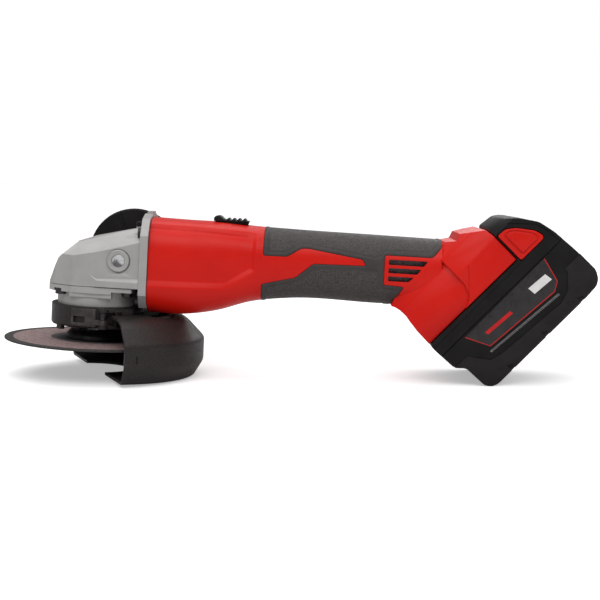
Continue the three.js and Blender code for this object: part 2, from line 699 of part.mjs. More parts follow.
// ---- Housing and grip ----
function bodyRing([x, top, bottom, half, square], inset) {
  const middle = (top + bottom) / 2;
  const tall = (top - bottom) / 2 - inset;
  const wide = half - inset;
  const bulge = (value) => Math.sign(value) * Math.abs(value) ** (2 / square);
  return Array.from({ length: ringSides }, (_, i) => {
    const angle = (i * 2 * Math.PI) / ringSides;
    return V(x, wide * bulge(Math.cos(angle)), middle + tall * bulge(Math.sin(angle)));
  });
}

const bodyForm = (inset) => loft(bodySections.map((section) => bodyRing(section, inset)));

const packMatrix = new THREE.Matrix4().makeTranslation(packX, 0, packZ)
  .multiply(new THREE.Matrix4().makeRotationY(-rad(packSlope)));
const inPack = (solid) => placed(solid, packMatrix);

const footSide = [[-1.2, gap], [footLength, gap], [footLength, 22.5], [78.2, 28], [64.7, 37.4], [60, 35.4],
  [54.2, 40], [20, 44], [-1.6, 35], [1.4, 29], [0.2, 20], [-0.8, 12]];
const footPlan = [[-4, 33], [26, 33.5], [46, footHalfWidth], [footLength + 1, footHalfWidth]];
const footAcross = [[footHalfWidth, -2], [footHalfWidth, 20], [34.5, 32.5], [20, 39], [20, 50]];
const bothSides = (points) => [...points, ...points.map(([a, b]) => [a, -b]).reverse()];
const bothHalves = (points) => [...points, ...points.map(([a, b]) => [-a, b]).reverse()];
const channelTopQ = railTopQ + 0.6;
const roomFloorQ = channelTopQ + 2.4;
const wiringHalf = 22;

function footForm() {
  return prism('y', footSide, -50, 50)
    .intersect(prism('z', bothSides(footPlan), -5, 60))
    .intersect(prism('x', bothHalves(footAcross), -10, 90));
}

// What the foot holds: the battery's rail channel, the terminal block's bay and the wiring space.
function footHollow() {
  const start = railStartP - 6;
  const channel = join(
    box(start, footLength + 5, -railHalf - sliding, railHalf + sliding, -2, railLipQ + 1),
    box(start, footLength + 5, -railLipHalf - sliding, railLipHalf + sliding,
      railLipQ - sliding, channelTopQ),
  );
  const wiring = prism('y', [[4, roomFloorQ], [footLength - 4, roomFloorQ], [footLength - 4, 22],
    [64, 31], [40, 34], [8, 31]], -wiringHalf, wiringHalf);
  const wiringLow = box(4, footLength - 4, -footHalfWidth + 5, footHalfWidth - 5, roomFloorQ, 19);
  const leadHole = box(start, start + 5, -12, 12, channelTopQ - 1, channelTopQ + 3);
  return join(channel, wiring, wiringLow, leadHole);
}

// One side's rubber: grip ends, the wedge of bare housing and the vent's frame bound it.
const rubberOutline = [
  [112.9, 95], [112.9, 65.8], [128.7, 65.8], [137.8, 71.6], [142.4, 71.9], [179.5, 66.5], [181.7, 62.1],
  [146.5, 61.6], [134.9, 51.7], [112.6, 46.3], [112.3, 20], [196, 20], [200.2, 36.6], [207.6, 49.6],
  [193.8, 50.1], [193.8, 70.3], [225.6, 70.3], [231, 76.4], [234, 84], [234, 95],
];
const ventStart = 196.8;
const ventSlots = [[67.5, 63.9, 222.6, 220.2], [61.9, 58.4, 218.7, 216], [56.3, 53, 213.8, 210.5]];

// An outline grown outwards by a small margin, corner by corner.
function grown(points, margin) {
  const clockwise = THREE.ShapeUtils.area(points.map(([x, y]) => new THREE.Vector2(x, y))) < 0;
  const turn = clockwise ? -1 : 1;
  return points.map(([x, y], i) => {
    const [px, py] = points[(i + points.length - 1) % points.length];
    const [nx, ny] = points[(i + 1) % points.length];
    const a = new THREE.Vector2(y - py, px - x).normalize().multiplyScalar(turn);
    const b = new THREE.Vector2(ny - y, x - nx).normalize().multiplyScalar(turn);
    const mid = a.clone().add(b).normalize();
    const reach = margin / Math.max(0.3, mid.dot(a));
    return [x + mid.x * reach, y + mid.y * reach];
  });
}

const gripForm = bodyForm(0);
const rubberBed = bodyForm(rubberDepth);
const rubberFloor = bodyForm(rubberDepth + gap);
const nearHalf = box(-100, 400, -100, -gap / 2, -100, 200);

function gripRubber() {
  return prism('y', rubberOutline, -60, 60)
    .intersect(gripForm)
    .subtract(rubberBed)
    .subtract(inPack(grownFoot))
    .intersect(nearHalf);
}

const grownFoot = prism('y', grown(footSide, gap), -60, 60);

function motorMounts() {
  const ribs = [[statorX + 3, statorX + 6], [statorEnd - 6, statorEnd - 3]].map(([from, to]) =>
    box(from, to, -40, 40, 15, 95));
  const bearingWall = box(rearBearing.x, rearBearing.x + rearBearing.width, -40, 40, 15, 95);
  const statorSeat = moved(rod('x', statorRadius + gap, 0, statorEnd + 2, fine), 0, 0, motorAxisZ);
  const bearingSeat = moved(rod('x', rearBearing.outer + gap, 0, 140, fine), 0, 0, motorAxisZ);
  const rodWay = box(0, 140, -4, 4, switchRodZ - 2.6, 95);
  return cut(join(cut(join(...ribs), statorSeat), cut(bearingWall, bearingSeat)), rodWay)
    .intersect(bodyForm(housingWall - 1));
}

const housingScrews = [[114, 42], [170, 42], [108, 71], [226, 42]];
const screwBoss = 4;
const screwHeadY = 10.5;
const screwTipY = -12;

const housingScrewRadius = 1.6;
const screwHeadRadius = 3;

// The deep holes in the far half that the screw heads sit in.
function screwHeadWays() {
  const way = rod('y', screwHeadRadius + gap, screwHeadY, 60, small);
  return housingScrews.map(([x, z]) => moved(way, x, 0, z));
}

function housingBosses() {
  const posts = housingScrews.map(([x, z]) => moved(rod('y', screwBoss, -24, 24, small), x, 0, z));
  return join(...posts).intersect(join(gripForm, inPack(footForm())));
}

function housingShell() {
  const outer = join(gripForm, inPack(footForm()));
  const hollow = join(bodyForm(housingWall), inPack(footHollow()));
  const rubberZone = cut(prism('y', grown(rubberOutline, gap), -60, 60), rubberFloor, inPack(footForm()));
  const vents = ventSlots.map(([top, bottom, topEnd, bottomEnd]) =>
    prism('y', [[ventStart, top], [topEnd, top], [bottomEnd, bottom], [ventStart, bottom]], -60, 60));
  const stemSlot = box(stemX - sliderTravel - sliding, stemX + stemLength + sliding,
    -stemHalfWidth - sliding, stemHalfWidth + sliding, 70, 100);
  const flangeThreads = flangeScrewZs.flatMap((z) => [-1, 1].map((side) =>
    moved(rod('x', 2.2 + gap, 20, housingFrontX + 14, small), 0, side * flangeScrewY, z)));
  const corners = flangeScrewZs.flatMap((z) => [-1, 1].map((side) =>
    moved(rod('x', 5, housingFrontX, housingFrontX + 16, small), 0, side * flangeScrewY, z)));
  const threadPosts = join(...corners).intersect(gripForm);
  const shell = join(cut(outer, hollow), motorMounts(), housingBosses(), threadPosts);
  const channel = inPack(footHollow());
  const collarWay = rod('z', collarSwing, 0, collarTopZ + gap, fine);
  return cut(shell, channel, rubberZone, collarWay, ...vents, stemSlot, ...flangeThreads);
}

function housingHalves() {
  const shell = housingShell();
  const near = shell.intersect(nearHalf);
  const far = shell.intersect(mirroredY(nearHalf));
  const bores = housingScrews.map(([x, z]) =>
    moved(rod('y', housingScrewRadius + gap, screwTipY - 1, 30, small), x, 0, z));
  return [cut(near, ...bores), cut(far, ...bores, ...screwHeadWays())];
}

function housingScrew() {
  const head = screwHeadY + gap;
  return turned('y', [[0, screwTipY], [housingScrewRadius, screwTipY], [housingScrewRadius, head],
    [screwHeadRadius, head], [screwHeadRadius, head + 3], [0, head + 3]], small);
}

function ventScreen() {
  return box(194.5, 225, -21, -20.2, 50.5, 70.5);
}

// ---- Slide switch ----
function switchSlider() {
  const end = sliderX + sliderLength;
  const hump = [[sliderX, 87.2], [sliderX, 88.4], [sliderX + 1.2, 89.6], [sliderX + 4.5, 89.4],
    [sliderX + 6.5, 87.6], [sliderX + 8, 87.4], [sliderX + 9, 88.6], [sliderX + 11, 88.6],
    [sliderX + 12, 87.3], [sliderX + 13, 88.3], [sliderX + 15, 88.3], [sliderX + 16, 87.1],
    [sliderX + 17, 88], [sliderX + 19, 88],
    [sliderX + 20, 87], [end, 86.9], [end, 86.1]];
  const cap = prism('y', hump, -sliderHalfWidth, sliderHalfWidth);
  const stem = box(stemX, stemX + stemLength, -stemHalfWidth, stemHalfWidth, switchRodZ + gap, 88);
  return join(cap, stem);
}

function switchRod() {
  return box(stemX + stemLength - 0.6, switchX + 8, -2.4, 2.4, switchRodZ - 2, switchRodZ);
}

function powerSwitch() {
  const top = switchRodZ - 2 - sliding;
  const body = box(switchX, switchX + 18, -8, 8, top - 15, top);
  const terminal = box(switchX + 14, switchX + 22, -2, 2, 66, 70);
  return join(body, terminal);
}

function controlBoard() {
  const tray = prism('y', [[150, 47], [188, 47], [190, 49], [190, 59], [150, 59]], -15, 15);
  const fins = Array.from({ length: 5 }, (_, i) => box(154 + i * 7, 156.5 + i * 7, -13, 13, 58, 64));
  return join(tray, ...fins);
}

function terminalBlock() {
  const start = railStartP - 6 + gap;
  const block = box(start, railStartP - gap, -railHalf + 1, railHalf - 1, 1.2, channelTopQ - gap);
  const blades = bladeYs.map((y) => box(railStartP - 1, railStartP + bladeLength, y - bladeThickness / 2,
    y + bladeThickness / 2, 2, 7));
  return join(block, ...blades);
}

// ---- Battery pack ----
const packSide = [[-1.2, -gap], [79.6, -gap], [79.6, 24], [81, 26.7], [92, 24.9], [98, 19.8], [106.5, 8],
  [109.2, -4], [110.8, -24], [111, -41], [108, -46.5], [104, -49.2], [93, -50.2], [13, -50.8],
  [packLowP, packLowQ], [5.9, -44.6], [5.2, -28], [-0.4, -22], [-1.4, -5]];
const packAcross = [[packHalfWidth - 4, -52], [packHalfWidth, -47], [packHalfWidth, 21.5],
  [22, 27.5], [22, 30]];

function packForm() {
  return prism('y', packSide, -50, 50).intersect(prism('x', bothHalves(packAcross), -10, 130));
}

const latchOutline = [[81.7, 20.4], [87.5, 19.8], [93, 15.6], [100.7, 5.6], [102.2, -0.2], [100.8, -2],
  [79.8, -2], [78.6, -0.4]].map(([p, q]) => [Math.max(p, 80.6), q]);
const latchOuterY = packHalfWidth + latchProud;

function latchRecess() {
  const inner = latchOuterY - latchThickness - latchTravel - 0.8;
  return prism('y', grown(latchOutline, sliding), -60, -inner);
}

function gaugeSeat() {
  return moved(rod('x', 3.6 + gap, 90, 130), 0, 0, gaugeQ);
}

function batteryTopCase() {
  const p0 = railStartP;
  const rails = join(
    box(p0, 80, -railHalf, railHalf, -2, railTopQ),
    box(p0, 80, -railLipHalf, railLipHalf, railLipQ, railTopQ),
  );
  const hollow = prism('y', [[4, -60], [108, -60], [108, -24], [106.4, -packWall], [4, -packWall]],
    -packHalfWidth + packWall, packHalfWidth - packWall);
  const tower = prism('y', [[83, -4], [83, 20], [91, 20], [96, 16], [103, 6], [104, -4]], -29, 29);
  const slots = bladeYs.map((y) => box(p0 - 1, p0 + bladeLength + 2, y - 1.3, y + 1.3, 1.2, railTopQ + 1));
  const upper = box(-20, 140, -60, 60, caseSplitQ + gap / 2, 60);
  const shell = cut(packForm(), hollow, tower).intersect(upper);
  return cut(join(shell, rails), ...slots, latchRecess(), mirroredY(latchRecess()), gaugeSeat());
}

function batteryBottomCase() {
  const hollow = prism('y', [[8.2, 0], [108, 0], [108.2, -40], [105.6, -45], [102.6, -47], [12, -47.6],
    [8.6, -44]], -packHalfWidth + packWall, packHalfWidth - packWall);
  const lower = box(-20, 140, -60, 60, -80, caseSplitQ - gap / 2);
  return cut(packForm(), hollow).intersect(lower);
}

const cellCentres = cellRowQs.flatMap((q) =>
  Array.from({ length: cellColumns }, (_, i) => [firstCellP + i * cellPitch, q]));
const lastCellP = firstCellP + (cellColumns - 1) * cellPitch;
const cellHalf = cellLength / 2;

function batteryCells() {
  const cells = cellCentres.map(([p, q]) => moved(rod('y', cellRadius, -cellHalf, cellHalf, 14), p, 0, q));
  const strips = [-1, 1].map((side) => {
    const face = side * cellHalf;
    return box(firstCellP - 4, lastCellP + 4, Math.min(face, face + side * 0.4) - 0.1,
      Math.max(face, face + side * 0.4) + 0.1, cellRowQs[1] - 4, cellRowQs[0] + 4);
  });
  return join(...cells, ...strips);
}

// A spine between the two rows of cells, with a rib reaching up and down between each pair of columns.
function cellHolder() {
  const [upper, lower] = cellRowQs;
  const slack = (upper - lower) / 2 - cellRadius - gap;
  const middle = (upper + lower) / 2;
  const half = cellHalf - 8;
  const spine = box(firstCellP - 6, lastCellP + 6, -half, half, middle - slack, middle + slack);
  const gaps = Array.from({ length: cellColumns - 1 }, (_, i) => firstCellP + (i + 0.5) * cellPitch);
  const rib = cellPitch / 2 - cellRadius - gap / 2;
  const ribs = gaps.map((p) => box(p - rib, p + rib, -half, half, lower - 6, upper + 6));
  return join(spine, ...ribs);
}

function batteryBoard() {
  return box(14, 76, -26, 26, cellRowQs[0] + cellRadius + 1.8, -packWall - 0.6);
}

function latchButton() {
  const plate = prism('y', latchOutline, -latchOuterY, -latchOuterY + latchThickness);
  const pad = prism('y', [[84.5, 16.5], [88.5, 16], [97.5, 5], [98.5, 1.5], [84.5, 1.5]],
    -latchOuterY - 0.8, -latchOuterY + 1);
  return join(plate, pad);
}

function gaugeButton() {
  return moved(turned('x', [[0, 106.2], [3.6, 106.2], [3.6, 110.6], [3, 111.2], [0, 111.2]]), 0, 0, gaugeQ);
}

// ---- Assembly ----
function assemble() {
  const tool = new THREE.Group();
  const pack = new THREE.Group();
  pack.applyMatrix4(packMatrix);
  tool.add(pack);

  const [housingLeft, housingRight] = housingHalves();
  add(tool, 'housing_left', housingLeft, 'redPlastic');
  add(tool, 'housing_right', housingRight, 'redPlastic');
  const rubber = gripRubber();
  add(tool, 'grip_left', rubber, 'rubber');
  add(tool, 'grip_right', cut(mirroredY(rubber), ...screwHeadWays()), 'rubber');
  housingScrews.forEach(([x, z], i) => {
    add(tool, `housing_screw_${i + 1}`, moved(housingScrew(), x, 0, z), 'darkSteel');
  });
  add(tool, 'vent_screen_left', ventScreen(), 'screen');
  add(tool, 'vent_screen_right', mirroredY(ventScreen()), 'screen');

  add(tool, 'gear_case', gearCase(), 'castAluminium');
  add(tool, 'bearing_plate', bearingPlate(), 'castAluminium');
  plateScrewXs.flatMap((x) => [-1, 1].map((side) => [x, side * plateScrewY])).forEach(([x, y], i) => {
    add(tool, `bearing_plate_screw_${i + 1}`, moved(plateScrew(), x, y, 0), 'darkSteel');
  });
  flangeScrewZs.flatMap((z) => [-1, 1].map((side) => [side * flangeScrewY, z])).forEach(([y, z], i) => {
    add(tool, `gear_case_screw_${i + 1}`, moved(flangeScrew(), 0, y, z), 'darkSteel');
  });

  add(tool, 'spindle', spindle(), 'steel');
  add(tool, 'spindle_bearing', bearing('z', spindleJournal + running, bearingRadius, bearingSeatZ + gap,
    bearingWidth), 'steel');
  add(tool, 'needle_bearing', tube('z', spindleTopRadius + running, 6.3, 59.5, 66.3), 'steel');
  add(tool, 'crown_gear', crownGear(), 'steel');
  add(tool, 'pinion_gear', pinionGear(), 'steel');
  add(tool, 'inner_flange', innerFlange(), 'darkSteel');
  add(tool, 'cutting_disc', cuttingDisc(), 'disc');
  add(tool, 'lock_nut', lockNut(), 'darkSteel');
  add(tool, 'spindle_lock_button', spindleLockButton(), 'blackPlastic');
  add(tool, 'spindle_lock_spring', spindleLockSpring(), 'steel');

  add(tool, 'guard_shell', guardShell(), 'darkSteel');
  add(tool, 'guard_collar', guardCollar(), 'darkSteel');
  add(tool, 'guard_lever', guardLever(), 'darkSteel');
  add(tool, 'guard_lever_pin', guardLeverPin(), 'steel');
  add(tool, 'guard_lever_spring', guardLeverSpring(), 'steel');
  add(tool, 'side_handle_grip', sideHandleGrip(), 'blackPlastic');
  add(tool, 'side_handle_stud', sideHandleStud(), 'steel');

  add(tool, 'stator_core', statorCore(), 'darkSteel');
  add(tool, 'stator_windings', statorWindings(), 'copper');
  add(tool, 'motor_shaft', motorShaft(), 'steel');
  add(tool, 'rotor', rotor(), 'darkSteel');
  add(tool, 'cooling_fan', coolingFan(), 'blackPlastic');
  add(tool, 'fan_baffle', fanBaffle(), 'blackPlastic');
  add(tool, 'sensor_board', sensorBoard(), 'circuit');
  const frontBore = shaftRadius - gap / 2 + running;
  const rearBore = shaftRadius - 0.5 + running;
  add(tool, 'front_motor_bearing', moved(bearing('x', frontBore, frontBearing.outer, frontBearing.x,
    frontBearing.width), 0, 0, motorAxisZ), 'steel');
  add(tool, 'rear_motor_bearing', moved(bearing('x', rearBore, rearBearing.outer, rearBearing.x,
    rearBearing.width), 0, 0, motorAxisZ), 'steel');

  add(tool, 'switch_slider', switchSlider(), 'blackPlastic');
  add(tool, 'switch_rod', switchRod(), 'blackPlastic');
  add(tool, 'power_switch', powerSwitch(), 'blackPlastic');
  add(tool, 'control_board', controlBoard(), 'circuit');
  add(pack, 'terminal_block', terminalBlock(), 'blackPlastic');

  add(pack, 'battery_top_case', batteryTopCase(), 'blackPlastic');
  add(pack, 'battery_bottom_case', batteryBottomCase(), 'blackPlastic');
  add(pack, 'battery_cells', batteryCells(), 'cell');
  add(pack, 'cell_holder', cellHolder(), 'blackPlastic');
  add(pack, 'battery_board', batteryBoard(), 'circuit');
  add(pack, 'latch_button_left', latchButton(), 'redPlastic');
  add(pack, 'latch_button_right', mirroredY(latchButton()), 'redPlastic');
  add(pack, 'gauge_button', gaugeButton(), 'blackPlastic');
  return tool;
}

// The tool rests on the guard's lip at its rear and on the battery's low edge.
function standing(tool) {
  const lowEdge = V(packLowP, 0, packLowQ).applyMatrix4(packMatrix);
  const lipEdge = V(guardLipRadius, 0, guardLipZ);
  const tilt = Math.atan2(lowEdge.z - lipEdge.z, lowEdge.x - lipEdge.x);
  tool.rotation.y = tilt;
  const part = new THREE.Group();
  part.add(tool);
  part.updateMatrixWorld(true);
  const bounds = new THREE.Box3().setFromObject(part, true);
  tool.position.set(-(bounds.min.x + bounds.max.x) / 2, -(bounds.min.y + bounds.max.y) / 2, -bounds.min.z);
  return part;
}

export default standing(assemble());
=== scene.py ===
# %% [markdown]
# A cordless angle grinder: a red moulded body, a cast gear case at its head, a steel guard round half
# of a thin cutting disc, a side handle and a sliding battery pack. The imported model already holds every
# part at its real size and place. This lesson keeps the parts whose shape is right, builds finer shells
# where a moulded or pressed surface shows, and gives every part a finish made of shader nodes.
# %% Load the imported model
import json
import math

import bmesh
import bpy
import numpy as np
from mathutils import Matrix, Vector


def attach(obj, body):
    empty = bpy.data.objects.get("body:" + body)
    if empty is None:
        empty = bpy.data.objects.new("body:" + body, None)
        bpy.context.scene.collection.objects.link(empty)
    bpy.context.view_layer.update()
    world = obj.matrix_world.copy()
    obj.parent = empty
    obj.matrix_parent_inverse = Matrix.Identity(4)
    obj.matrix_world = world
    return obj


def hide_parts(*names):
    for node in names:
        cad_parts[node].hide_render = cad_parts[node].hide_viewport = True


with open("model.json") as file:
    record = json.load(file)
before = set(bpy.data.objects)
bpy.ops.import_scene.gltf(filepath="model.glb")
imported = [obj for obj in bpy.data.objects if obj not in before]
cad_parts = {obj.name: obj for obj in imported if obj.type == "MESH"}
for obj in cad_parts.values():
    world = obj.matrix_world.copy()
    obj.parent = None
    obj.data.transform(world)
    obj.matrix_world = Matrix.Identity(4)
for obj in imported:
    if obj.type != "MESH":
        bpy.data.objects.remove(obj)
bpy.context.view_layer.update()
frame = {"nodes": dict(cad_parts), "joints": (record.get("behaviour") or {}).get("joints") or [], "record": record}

MM = 0.001

# %% [markdown]
# The tool leans on its guard and its battery, so nothing on it is level. It is easier to build each
# piece square to the tool: x runs back along the body, y to the side handle and z up the spindle, all in
# millimetres from the middle of the disc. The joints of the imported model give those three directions.
# The battery has a frame of its own: p along its slide, y as before, and q square to both.
# %% The tool's frame and the battery's frame
joints = {joint["name"]: joint for joint in frame["joints"]}
up_spindle = Vector(joints["spindle_spin"]["axis"]).normalized()
along_body = Vector(joints["motor_spin"]["axis"]).normalized()
to_handle = up_spindle.cross(along_body)
along_slide = Vector(joints["battery_slide"]["axis"]).normalized()
disc_middle = Vector(joints["spindle_spin"]["pos_m"])


def frame_from(origin, first, second, third):
    placed = Matrix((first, second, third)).transposed().to_4x4() @ Matrix.Scale(MM, 4)
    placed.translation = origin
    return placed


tool = frame_from(disc_middle, along_body, to_handle, up_spindle)
battery_heel = tool @ Vector((227.2, 0, 14))
pack = frame_from(battery_heel, along_slide, to_handle, along_slide.cross(to_handle))
print("disc middle, m", [round(x, 4) for x in disc_middle])

# %% [markdown]
# The camera is a long lens to the left of the tool, a little above it and tipped slightly down, as for a
# catalogue. A long lens keeps the body's edges nearly parallel.
# %% Camera
camera_place = Vector((140.46, -900, 121.44))
camera_pitch, camera_yaw, camera_roll = -0.0961, 0.0018, 0.0550
camera_lens = 78.74
look = (Matrix.Rotation(camera_roll, 3, "Y") @ Matrix.Rotation(-camera_pitch, 3, "X")
        @ Matrix.Rotation(-camera_yaw, 3, "Z"))
camera_axes = Matrix((look[0], look[2], -look[1])).transposed()
tool_turn = Matrix((along_body, to_handle, up_spindle)).transposed()
camera = bpy.data.objects.new("camera", bpy.data.cameras.new("camera"))
camera.data.sensor_width = 36
camera.data.lens = camera_lens
camera.data.clip_start, camera.data.clip_end = 0.05, 50
camera.matrix_world = (tool_turn @ camera_axes).to_4x4()
camera.location = tool @ camera_place
bpy.context.scene.collection.objects.link(camera)
bpy.context.scene.camera = camera
print("camera at, m", [round(x, 3) for x in camera.location])

# %% [markdown]
# A product is best lit by large soft lamps, so that edges are drawn by broad highlights. A wide lamp hangs
# overhead, a second one above the camera lights the near side, and a weak one stands behind. The floor
# glows a little where it is seen, so that it runs into the white backdrop without a line.
# %% Floor, lamps and sky
def pale_floor():
    mesh = bpy.data.meshes.new("floor")
    reach = 12
    mesh.from_pydata([(-reach, -reach, 0), (reach, -reach, 0), (reach, reach, 0), (-reach, reach, 0)], [],
                     [(0, 1, 2, 3)])
    floor = bpy.data.objects.new("floor", mesh)
    bpy.context.scene.collection.objects.link(floor)
    material = bpy.data.materials.new("pale_floor")
    material.use_nodes = True
    nodes, links = material.node_tree.nodes, material.node_tree.links
    nodes.clear()
    seen, bounce, glow = (nodes.new(kind) for kind in ("ShaderNodeBsdfDiffuse", "ShaderNodeBsdfDiffuse",
                                                       "ShaderNodeEmission"))
    seen.inputs["Color"].default_value = (0.9, 0.9, 0.9, 1)
    bounce.inputs["Color"].default_value = (0.72, 0.72, 0.72, 1)
    glow.inputs["Strength"].default_value = 0.4
    lit, choose, ray = (nodes.new(kind) for kind in ("ShaderNodeAddShader", "ShaderNodeMixShader",
                                                     "ShaderNodeLightPath"))
    links.new(seen.outputs[0], lit.inputs[0])
    links.new(glow.outputs[0], lit.inputs[1])
    links.new(ray.outputs["Is Camera Ray"], choose.inputs["Fac"])
    links.new(bounce.outputs[0], choose.inputs[1])
    links.new(lit.outputs[0], choose.inputs[2])
    links.new(choose.outputs[0], nodes.new("ShaderNodeOutputMaterial").inputs["Surface"])
    mesh.materials.append(material)

# %% [markdown]
# A wide lamp overhead acts as an overcast sky does: its angle says how soft the shadows are. Lamps of a
# known size stand nearer, and draw the long highlights along the body.
# %% Lamps
def overhead_light(lean, width, strength):
    """A sky-wide soft lamp straight above, leaning towards the camera by lean degrees."""
    lamp = bpy.data.objects.new("overhead", bpy.data.lights.new("overhead", "SUN"))
    lamp.data.energy = strength
    lamp.data.angle = math.radians(width)
    lamp.rotation_euler = (math.radians(-lean), math.radians(-lean * 0.4), 0)
    lamp.location = (0, 0, 1)
    bpy.context.scene.collection.objects.link(lamp)


def soft_lamp(name, place, aim, size, watts):
    lamp = bpy.data.objects.new(name, bpy.data.lights.new(name, "AREA"))
    lamp.data.shape = "RECTANGLE"
    lamp.data.size, lamp.data.size_y = size
    lamp.data.energy = watts
    lamp.location = place
    lamp.rotation_mode = "QUATERNION"
    lamp.rotation_quaternion = (Vector(aim) - Vector(place)).to_track_quat("-Z", "Y")
    bpy.context.scene.collection.objects.link(lamp)

# %% [markdown]
# The sky is white where it is seen but only a dim fill where it lights the tool. A sky as bright as it
# looks would wash the colours out.
# %% Sky
def studio_sky():
    """White where the camera sees it, and a dimmer fill where it lights the tool."""
    world = bpy.data.worlds.new("studio")
    bpy.context.scene.world = world
    world.use_nodes = True
    nodes, links = world.node_tree.nodes, world.node_tree.links
    nodes.clear()
    seen, fill = nodes.new("ShaderNodeBackground"), nodes.new("ShaderNodeBackground")
    seen.inputs["Color"].default_value = (1, 1, 1, 1)
    fill.inputs["Color"].default_value = (1, 1, 1, 1)
    fill.inputs["Strength"].default_value = 0.24
    choose, ray = nodes.new("ShaderNodeMixShader"), nodes.new("ShaderNodeLightPath")
    links.new(ray.outputs["Is Camera Ray"], choose.inputs["Fac"])
    links.new(fill.outputs[0], choose.inputs[1])
    links.new(seen.outputs[0], choose.inputs[2])
    links.new(choose.outputs[0], nodes.new("ShaderNodeOutputWorld").inputs["Surface"])


pale_floor()
studio_sky()
overhead_light(12, 70, 1.65)
soft_lamp("above_camera", (-0.1, -1.3, 1.35), (0, 0, 0.05), (2.2, 1.0), 19)
soft_lamp("behind", (0.5, 1.3, 0.7), (0, 0, 0.06), (1.0, 0.7), 4)
bpy.context.scene.view_settings.view_transform = "Standard"

# %% [markdown]
# A finish is a shader plus the small differences that a real surface has. Each material below starts
# from the same few bricks: a patch pattern for colour, the same kind of pattern for gloss, a fine grain
# that tilts the surface, and a slight rounding of sharp corners, because nothing moulded or cast has a
# corner as sharp as a knife. Patterns are measured in millimetres of the tool.
# %% Bricks that finishes are made of
finishes = {}


def new_finish(name, roughness, metal=0.0, corner=0.35, mirror_level=0.25):
    """A principled shader whose sharp corners catch light as if rounded by corner, in millimetres.
    Plastics and rubber reflect less straight on than glass does, which mirror_level says as a level."""
    material = bpy.data.materials.new(name)
    material.use_nodes = True
    shader = material.node_tree.nodes["Principled BSDF"]
    shader.inputs["Specular IOR Level"].default_value = mirror_level
    shader.inputs["Roughness"].default_value = roughness
    shader.inputs["Metallic"].default_value = metal
    round_corner = material.node_tree.nodes.new("ShaderNodeBevel")
    round_corner.samples = 6
    round_corner.inputs["Radius"].default_value = corner * MM
    round_corner.name = "surface"
    material.node_tree.links.new(round_corner.outputs["Normal"], shader.inputs["Normal"])
    finishes[name] = material
    return material


print("first brick", new_finish.__name__)

# %% [markdown]
# A pattern takes its place from the piece's own coordinates, turned into millimetres. So a grain keeps
# its size on every piece, and a stretch along one axis turns it into machining lines.
# %% Patterns
def place_in_mm(material, stretch=(1, 1, 1)):
    nodes, links = material.node_tree.nodes, material.node_tree.links
    place, to_mm = nodes.new("ShaderNodeTexCoord"), nodes.new("ShaderNodeMapping")
    to_mm.inputs["Scale"].default_value = [share / MM for share in stretch]
    links.new(place.outputs["Object"], to_mm.inputs["Vector"])
    return to_mm.outputs["Vector"]


def patches(material, size, detail=3.0, stretch=(1, 1, 1)):
    """A cloudy pattern from 0 to 1 whose patches are about size millimetres across."""
    cloud = material.node_tree.nodes.new("ShaderNodeTexNoise")
    cloud.inputs["Scale"].default_value = 1 / size
    cloud.inputs["Detail"].default_value = detail
    material.node_tree.links.new(place_in_mm(material, stretch), cloud.inputs["Vector"])
    return cloud.outputs["Fac"]


def pebbles(material, size):
    """Rounded grains, as on leather or rubber, each about size millimetres across."""
    cells = material.node_tree.nodes.new("ShaderNodeTexVoronoi")
    cells.feature = "SMOOTH_F1"
    cells.inputs["Scale"].default_value = 1 / size
    material.node_tree.links.new(place_in_mm(material), cells.inputs["Vector"])
    return cells.outputs["Distance"]


print("patterns", [patches.__name__, pebbles.__name__])

# %% [markdown]
# A pattern is a number from 0 to 1. It is stretched to the range that a socket needs, or mixed into a
# colour between two tones, and a bump tilts the surface by it.
# %% Colour, gloss and grain
def stretched(material, value, low, high, to_low=0.0, to_high=1.0):
    span = material.node_tree.nodes.new("ShaderNodeMapRange")
    for socket, number in zip(("From Min", "From Max", "To Min", "To Max"), (low, high, to_low, to_high)):
        span.inputs[socket].default_value = number
    material.node_tree.links.new(value, span.inputs["Value"])
    return span.outputs["Result"]


def colour_by(material, value, dark, light, low=0.3, high=0.7):
    ramp = material.node_tree.nodes.new("ShaderNodeValToRGB")
    ramp.color_ramp.elements[0].position, ramp.color_ramp.elements[0].color = low, (*dark, 1)
    ramp.color_ramp.elements[1].position, ramp.color_ramp.elements[1].color = high, (*light, 1)
    material.node_tree.links.new(value, ramp.inputs["Fac"])
    return ramp.outputs["Color"]


def set_colour(material, colour):
    shader = material.node_tree.nodes["Principled BSDF"]
    material.node_tree.links.new(colour, shader.inputs["Base Color"])


def mottle(material, size, dark, light):
    """A colour that wanders between dark and light in patches size millimetres across."""
    set_colour(material, colour_by(material, patches(material, size), dark, light))


def set_gloss(material, value, smooth, rough):
    shader = material.node_tree.nodes["Principled BSDF"]
    roughness = stretched(material, value, 0.3, 0.7, smooth, rough)
    material.node_tree.links.new(roughness, shader.inputs["Roughness"])


def add_grain(material, height, depth):
    """Tilts the surface by a pattern whose hills are depth millimetres high."""
    nodes, links = material.node_tree.nodes, material.node_tree.links
    shader = nodes["Principled BSDF"]
    bump = nodes.new("ShaderNodeBump")
    bump.inputs["Strength"].default_value = 1.0
    bump.inputs["Distance"].default_value = depth * MM
    links.new(height, bump.inputs["Height"])
    links.new(shader.inputs["Normal"].links[0].from_socket, bump.inputs["Normal"])
    links.new(bump.outputs["Normal"], shader.inputs["Normal"])


